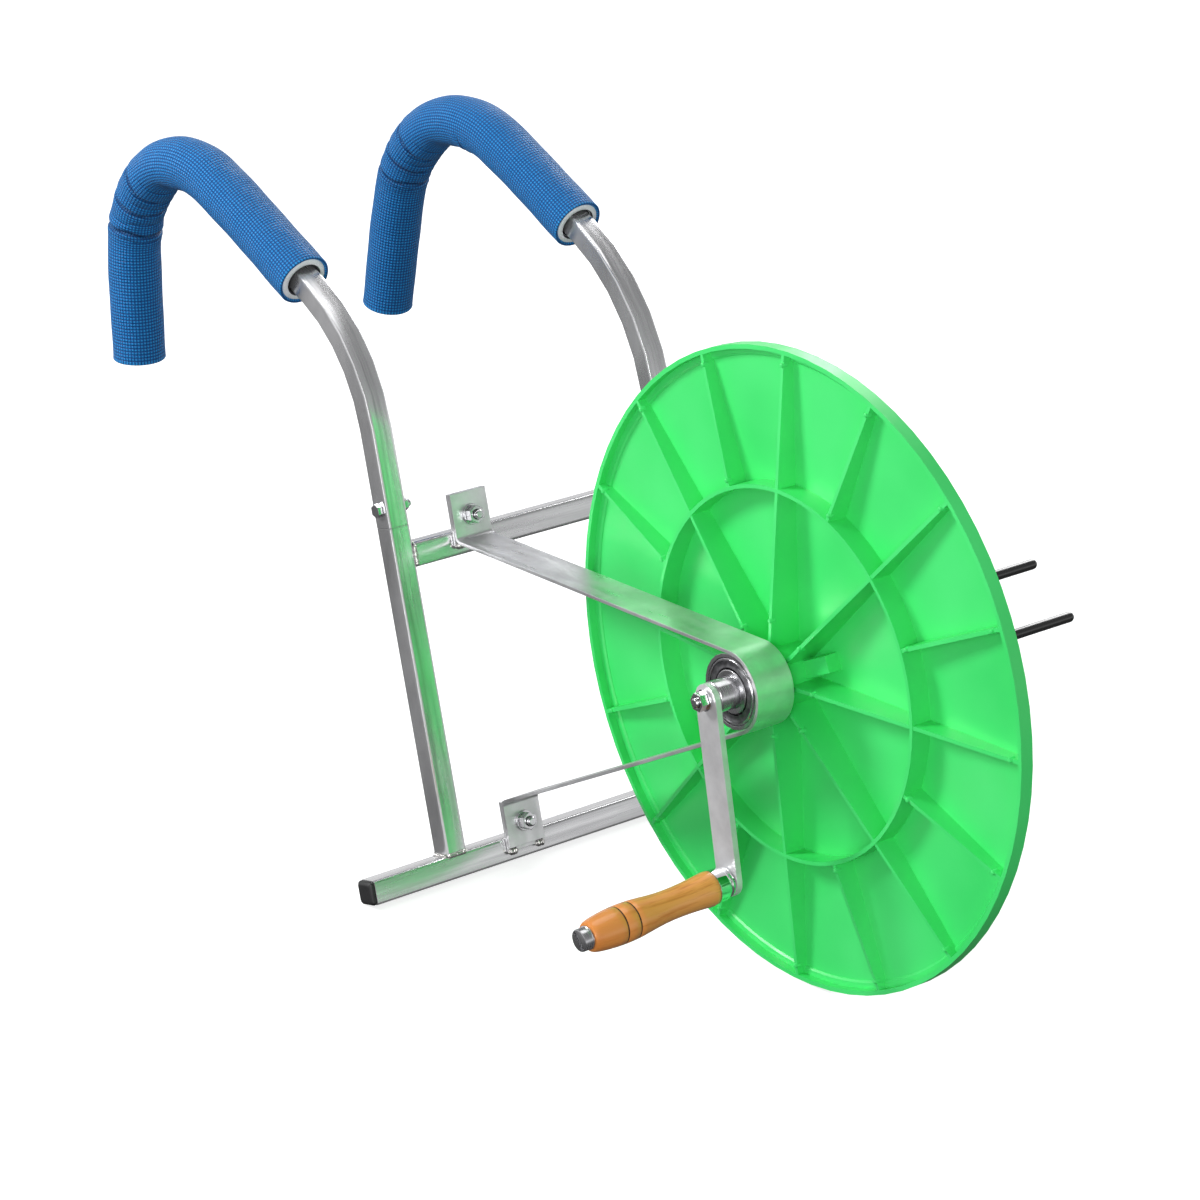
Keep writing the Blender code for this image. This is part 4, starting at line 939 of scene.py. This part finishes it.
def weld_foot(side):
    (left, right), (front, back), (foot, _) = reach_of(f"upright_{side}", ACROSS, LEAN_OUT, LEAN_UP)
    for face, out in (("front", front), ("back", back)):
        start, end = corner_at(left + FOOT_INSET, out, foot), corner_at(right - FOOT_INSET, out, foot)
        bead(f"weld_foot_{side}_{face}", start, end, FOOT_BEAD)
    for face, x in (("outer", left), ("inner", right)):
        start, end = corner_at(x, front + FOOT_INSET, foot), corner_at(x, back - FOOT_INSET, foot)
        bead(f"weld_foot_{side}_{face}", start, end, FOOT_SIDE_BEAD)


def weld_bar_ends():
    (left, right), (front, back), (low, high) = reach_of("upper_crossbar", ACROSS, LEAN_OUT, LEAN_UP)
    for side, x in (("right", left), ("left", right)):
        for face, out in (("front", front), ("back", back)):
            start, end = corner_at(x, out, low + BAR_INSET), corner_at(x, out, high - BAR_INSET)
            bead(f"weld_bar_{side}_{face}", start, end, BAR_BEAD)
        start, end = corner_at(x, front + BAR_INSET, high), corner_at(x, back - BAR_INSET, high)
        bead(f"weld_bar_{side}_top", start, end, BAR_BEAD)


def weld_plate(level):
    (left, right), (front, _), (low, _) = reach_of(f"mount_plate_{level}", ACROSS, LEAN_OUT, LEAN_UP)
    for face, x in (("outer", left + 4 * MM), ("inner", right - 4 * MM)):
        start = corner_at(x - 4.5 * MM, front, low + 0.2 * MM)
        bead(f"weld_plate_{level}_{face}", start, start + ACROSS * 9 * MM, PLATE_BEAD)


for side in ("left", "right"):
    weld_foot(side)
weld_bar_ends()
for level in ("upper", "lower"):
    weld_plate(level)
print("weld beads", len(weld_beads))

# %% [markdown]
# ## Shoulder pads: the line they follow
#
# Each pad is a foam tube pushed over a bent steel tube, so everything about it is told by one line.
# That line is read back from the engineering solid: at every station its outer skin has two points
# at the greatest X, one on each side of the line. Their middles, put in order, are joined by a
# smooth curve, which is then walked in even steps.

# %% Pad line
STATION = 1.2 * MM
SAME_SIDE = 0.02 * MM
CURVE_PARTS = 24


def pad_line(node):
    """The middles of a bent tube's stations in order from its lower-Y end, and its X."""
    source = frame["nodes"][node].data
    side = max(vertex.co.x for vertex in source.vertices)
    outermost = [vertex.co for vertex in source.vertices if side - vertex.co.x < SAME_SIDE]
    found = {(round(place.y, 5), round(place.z, 5)) for place in outermost}
    points = [Vector(place) for place in sorted(found)]
    middles = []
    while points:
        point = points.pop(0)
        mate = min(points, key=lambda other: (other - point).length)
        points.remove(mate)
        middles.append((point + mate) / 2)
    ordered = [min(middles, key=lambda place: place.x)]
    middles.remove(ordered[0])
    while middles:
        ordered.append(min(middles, key=lambda place: (place - ordered[-1]).length))
        middles.remove(ordered[-1])
    return ordered, (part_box(node)[0].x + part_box(node)[1].x) / 2


def smooth_walk(points, step):
    """A curve through all points (Catmull-Rom by chord length), walked in even steps."""
    chain = [points[0] * 2 - points[1], *points, points[-1] * 2 - points[-2]]
    fine = []
    for a, b, c, d in zip(chain, chain[1:], chain[2:], chain[3:]):
        span = (c - b).length
        out_b = ((b - a) / (b - a).length + (c - b) / span) / 2 * span
        out_c = ((c - b) / span + (d - c) / (d - c).length) / 2 * span
        for part in range(CURVE_PARTS):
            t = part / CURVE_PARTS
            fine.append(
                b * (2 * t**3 - 3 * t**2 + 1) + out_b * (t**3 - 2 * t**2 + t)
                + c * (3 * t**2 - 2 * t**3) + out_c * (t**3 - t**2)
            )
    fine.append(points[-1].copy())
    lengths = np.concatenate(([0], np.cumsum([(q - p).length for p, q in zip(fine, fine[1:])])))
    total = lengths[-1]
    places = np.linspace(0, total, round(total / step) + 1)
    walked = np.stack([np.interp(places, lengths, [point[k] for point in fine]) for k in (0, 1)], axis=1)
    slopes = np.gradient(walked, axis=0)
    slopes /= np.linalg.norm(slopes, axis=1)[:, None]
    return places, walked, slopes


PADS = {}
for side in ("right", "left"):
    stations, x = pad_line(f"foam_cover_{side}")
    PADS[side] = (x, *smooth_walk(stations, STATION))
    print(side, "pad", len(stations), "stations", round(PADS[side][1][-1] / MM), "mm long")

# %% [markdown]
# ## Shoulder pads: cover and foam
#
# The cover is drawn tight over the foam, so it has no loose folds. Where the tube bends, the foam
# on the inside of the bend is squeezed and buckles into a few sharp creases, and it swells a little
# between them. The creases are dips in the radius that run round the inner half of the pad and
# fade towards the outside. Nothing here hangs or drapes, so no cloth simulation is run, and the
# radius is worked out at every point. At each end the cloth turns over the foam's edge, and the
# white foam shows inside it, with a gap to the steel tube.

# %% Pad skins
COVER_SIDES = 104
GRAIN = 2.8 * MM
GRAINS_ROUND = 52
PAD_RADIUS = 22.6 * MM
PAD_MOST = PAD_RADIUS + 2.2 * MM
COVER_BACK = PAD_RADIUS - 6.0 * MM
FOAM_TOP = PAD_RADIUS - 6.6 * MM
FOAM_BORE = 14.2 * MM
FOAM_WALL = 2.4 * MM
# Each crease: share of the pad's length, depth and width in mm, how far round it goes from 0 to 1
CREASES = {
    "right": (
        (0.545, 1.8, 1.0, 0.1), (0.587, 4.0, 1.3, 0.85), (0.615, 1.5, 0.9, 0.15), (0.645, 4.2, 1.3, 0.8),
        (0.680, 1.7, 0.9, 0.4), (0.712, 4.2, 1.2, 0.9), (0.728, 1.6, 0.8, 0.3),
    ),
    "left": (
        (0.362, 3.2, 1.2, 0.0), (0.535, 1.6, 1.0, 0.1), (0.575, 3.8, 1.3, 0.8), (0.602, 1.5, 0.9, 0.2),
        (0.630, 4.0, 1.3, 0.75), (0.678, 3.6, 1.2, 0.85), (0.694, 1.5, 0.8, 0.3),
    ),
}
# Where a pad is pressed flat on the inside: share of its length, depth and width in mm
FLATS = {"right": (0.505, 4.2, 17), "left": (0.485, 4.0, 17)}
# The cover's edge turns over the foam: mm along the pad, mm less radius, mm of cloth used up
COVER_RIM = (
    (2.2, 0.0, 0.0), (1.2, -0.1, 0.15), (0.5, 0.2, 0.5), (0.1, 0.6, 1.1), (0.0, 1.2, 1.9), (0.5, 2.0, 2.2),
)
# The foam's cut end: mm along the pad, with mm added to its bore or taken from its outside
FOAM_MOUTH = ((3.0, 0.2), (1.4, 0.5), (0.6, 1.1))
FOAM_EDGE = ((0.5, 2.2), (0.9, 1.2), (2.0, 0.4))


def crease_forms(side, share, around, length):
    """Each crease's dip and the swelling beside it, in mm, at a place along and round the pad."""
    for place, depth, width, round_to in CREASES[side]:
        skew = 1.6 * math.sin(around * 2 + place * 40) + 0.8 * math.sin(around * 5 + place * 70)
        away = (share - place) * length / MM + skew
        reach = depth * min(1.0, max(0.0, round_to + (1 - round_to) * math.cos(around)))
        dip = math.exp(-abs(away / (width * 1.7)) ** 1.3)
        yield reach * dip, reach * math.exp(-((away / (width * 6)) ** 2))


def crease_shade(side, share, around, length):
    """How deep in a crease a point lies, from 0 to 1, for the painted shade in the cover's colour."""
    return min(1.0, 0.25 * sum(dip for dip, _ in crease_forms(side, share, around, length)))


def pad_radius(side, share, around, length):
    """The pad's radius: share is the place along it, and around is 0 on the bend's inside."""
    radius, inner = PAD_RADIUS, math.cos(around)
    for dip, swelling in crease_forms(side, share, around, length):
        radius += (0.4 * swelling - 1.0 * dip) * MM
    place, depth, width = FLATS[side]
    flat = math.exp(-(((share - place) * length / MM / width) ** 2))
    radius -= depth * MM * flat * max(0.0, inner) ** 2
    swell = 0.16 * math.sin(share * 23 + 1.3) + 0.12 * math.sin(share * 61 + around * 2)
    swell += 0.1 * math.sin(around * 3 + share * 9)
    return min(radius + swell * MM, PAD_MOST)


def tube_mesh(name, rings, grain=None):
    """A closed tube from rings of points; the last ring joins the first, as in a hollow sleeve."""
    sides, count = len(rings[0]), len(rings)
    verts = [point for ring in rings for point in ring]
    faces = []
    for ring in range(count):
        here, after = ring * sides, (ring + 1) % count * sides
        for turn in range(sides):
            beside = (turn + 1) % sides
            faces.append((here + turn, here + beside, after + beside, after + turn))
    mesh = bpy.data.meshes.new(name)
    mesh.from_pydata(verts, [], faces)
    if grain:
        uv = mesh.uv_layers.new(name="UVMap")
        for face in mesh.polygons:
            i, j = divmod(face.index, sides)
            corners = ((i, j), (i, j + 1), (i + 1, j + 1), (i + 1, j))
            for loop, (ring, turn) in zip(face.loop_indices, corners):
                uv.data[loop].uv = (grain[min(ring, count - 1)], turn / sides * GRAINS_ROUND)
    piece = bpy.data.objects.new(name, mesh)
    bpy.context.scene.collection.objects.link(piece)
    select_only(piece)
    bpy.ops.object.mode_set(mode="EDIT")
    bpy.ops.mesh.select_all(action="SELECT")
    bpy.ops.mesh.normals_make_consistent(inside=False)
    bpy.ops.object.mode_set(mode="OBJECT")
    bpy.ops.object.shade_smooth_by_angle(angle=math.radians(60))
    return piece


def pad_ring(pad, index, shift, radius_at):
    """One ring of points round the pad's line, moved along it by shift."""
    x, _, walked, slopes = pad
    (y, z), (dy, dz) = walked[index], slopes[index]
    y, z = y + dy * shift, z + dz * shift
    ring = []
    for turn in range(COVER_SIDES):
        around = 2 * math.pi * turn / COVER_SIDES
        radius = radius_at(around)
        sideways, inward = math.sin(around) * radius, math.cos(around) * radius
        ring.append((x + sideways, y + dz * inward, z - dy * inward))
    return ring


def skin(side, index, less=0.0):
    """The radius round one ring of a pad, as a function of the turn round it."""
    places = PADS[side][1]
    length = places[-1]
    return lambda around: pad_radius(side, places[index] / length, around, length) - less


def make_cover(side):
    pad = PADS[side]
    places = pad[1]
    length, last = places[-1], len(places) - 1
    rings, grain = [], []
    for shift, less, fold in COVER_RIM[::-1]:
        rings.append(pad_ring(pad, 0, shift * MM, skin(side, 0, less * MM)))
        grain.append(-(fold + 1) * MM / GRAIN)
    for index in range(2, last - 1):
        rings.append(pad_ring(pad, index, 0, skin(side, index)))
        grain.append(places[index] / GRAIN)
    for shift, less, fold in COVER_RIM:
        rings.append(pad_ring(pad, last, -shift * MM, skin(side, last, less * MM)))
        grain.append((length + fold * MM) / GRAIN)
    for index in range(last - 2, 1, -3):
        rings.append(pad_ring(pad, index, 0, lambda around: COVER_BACK))
        grain.append((length + 3 * MM) / GRAIN)
    cover = tube_mesh(f"pad_cover_{side}", rings, grain)
    # Each point's crease value sets how much painted shade darkens the cloth there
    depth = cover.data.attributes.new("crease", "FLOAT", "POINT")
    for index in range(2, last - 1):
        for turn in range(COVER_SIDES):
            around = 2 * math.pi * turn / COVER_SIDES
            point = (index - 2 + len(COVER_RIM)) * COVER_SIDES + turn
            depth.data[point].value = crease_shade(side, places[index] / length, around, length)
    dress(cover, blue_cover, "frame", "blue_cover", f"foam_cover_{side}")
    print(side, "pad cover faces", len(cover.data.polygons))


def make_foam_core(side):
    pad = PADS[side]
    last = len(pad[1]) - 1

    def flared(flare):
        return lambda around: FOAM_BORE + flare * MM

    rings = [pad_ring(pad, index, 0, flared(0)) for index in range(last - 2, 1, -4)]
    rings += [pad_ring(pad, 0, shift * MM, flared(flare)) for shift, flare in FOAM_MOUTH]
    for shift, less in FOAM_EDGE:
        rings.append(pad_ring(pad, 0, shift * MM, skin(side, 0, FOAM_WALL + less * MM)))
    rings += [pad_ring(pad, index, 0, lambda around: FOAM_TOP) for index in range(3, last - 2, 4)]
    for shift, less in FOAM_EDGE[::-1]:
        rings.append(pad_ring(pad, last, -shift * MM, skin(side, last, FOAM_WALL + less * MM)))
    rings += [pad_ring(pad, last, -shift * MM, flared(flare)) for shift, flare in FOAM_MOUTH[::-1]]
    core = tube_mesh(f"pad_foam_{side}", rings)
    dress(core, white_foam, "frame", "white_foam", f"foam_core_{side}")
    # The faces inside the bore, past its mouths, get the finish that carries painted shade.
    core.data.materials.append(painted_shade_bore)
    line = [Vector((pad[0], *place)) for place in pad[2]]
    for face in core.data.polygons:
        away = min((face.center - place).length for place in line[::6])
        at_mouth = min((face.center - mouth).length for mouth in (line[0], line[-1]))
        face.material_index = int(away < FOAM_BORE + 1.6 * MM and at_mouth > FOAM_BORE + 0.5 * MM)
    print(side, "pad foam faces", len(core.data.polygons))


for side in PADS:
    make_cover(side)
    make_foam_core(side)

# %% [markdown]
# ## Moulding details of the disc
#
# Inside the rim the disc has a low step, and the ribs have little nibs on top, left by the ejector
# pins of the mould. Each of the 16 ribs has one by the rim. The 8 ribs that reach the hub have
# another there, and the others have theirs by the ring. They are small, but they keep the disc from
# looking drawn. Each nib is a short lathe piece that stands on its rib, and all are joined as one.

# %% Disc details
_, disc_far, disc_radius = span_of("reel_disc", SHAFT, SHAFT_WAY)
PLATE_NEAR = disc_far - 3 * MM
RIM_INNER = disc_radius - 3.6 * MM
# The first rib's angle up from the front, in degrees
RIB_FIRST = 3.5
RIB_COUNT = 16
RIB_HEIGHT = 20 * MM
RIB_START = 25 * MM
NIB_AT_RIM, NIB_AT_HUB, NIB_AT_RING = disc_radius - 11 * MM, 46 * MM, 151 * MM

profile = [
    (PLATE_NEAR - 1.6 * MM, RIM_INNER - 4.5 * MM), (PLATE_NEAR - 1.6 * MM, RIM_INNER),
    (PLATE_NEAR + 1 * MM, RIM_INNER), (PLATE_NEAR + 1 * MM, RIM_INNER - 6 * MM),
    (PLATE_NEAR - 0.4 * MM, RIM_INNER - 6 * MM),
]
step_ring = lathe("disc_rim_step", profile, SHAFT, SHAFT_WAY, 160, True)
dress(step_ring, moulded_green, "reel", "green_plastic")


def rib_top(radius):
    """Where a rib's edge lies along the shaft: it stands highest by the hub and slopes to the rim."""
    return -RIB_HEIGHT * (1 - (radius - RIB_START) / (disc_radius - RIB_START))


def out_of_shaft(degrees):
    """A direction square to the shaft, turned from the front."""
    angle = math.radians(degrees)
    return Vector((0, -math.cos(angle), math.sin(angle)))


nibs = []
for rib in range(RIB_COUNT):
    outward = out_of_shaft(RIB_FIRST + rib * 360 / RIB_COUNT)
    for spot in (NIB_AT_RIM, NIB_AT_RING if rib % 2 else NIB_AT_HUB):
        top = rib_top(spot) - 1.1 * MM
        profile = [
            (top, 0.9 * MM), (top + 0.3 * MM, 1.5 * MM),
            (top + 1.4 * MM, 2.0 * MM), (top + 5 * MM, 2.5 * MM),
        ]
        nibs.append(lathe("disc_nib", profile, SHAFT + outward * spot, SHAFT_WAY, 12))
select_only(nibs[0])
for nib in nibs[1:]:
    nib.select_set(True)
bpy.ops.object.join()
nibs[0].name = "disc_nibs"
dress(nibs[0], moulded_green, "reel", "green_plastic")
print("nibs", len(nibs))

# %% [markdown]
# ## Nodes left without a skin
#
# The CAD nodes that are still shown, and so have no skin of their own, are printed.

# %% Finish
lost = [name for name in frame["nodes"] if not frame["nodes"][name].hide_render]
print("nodes without a skin of their own:", lost)
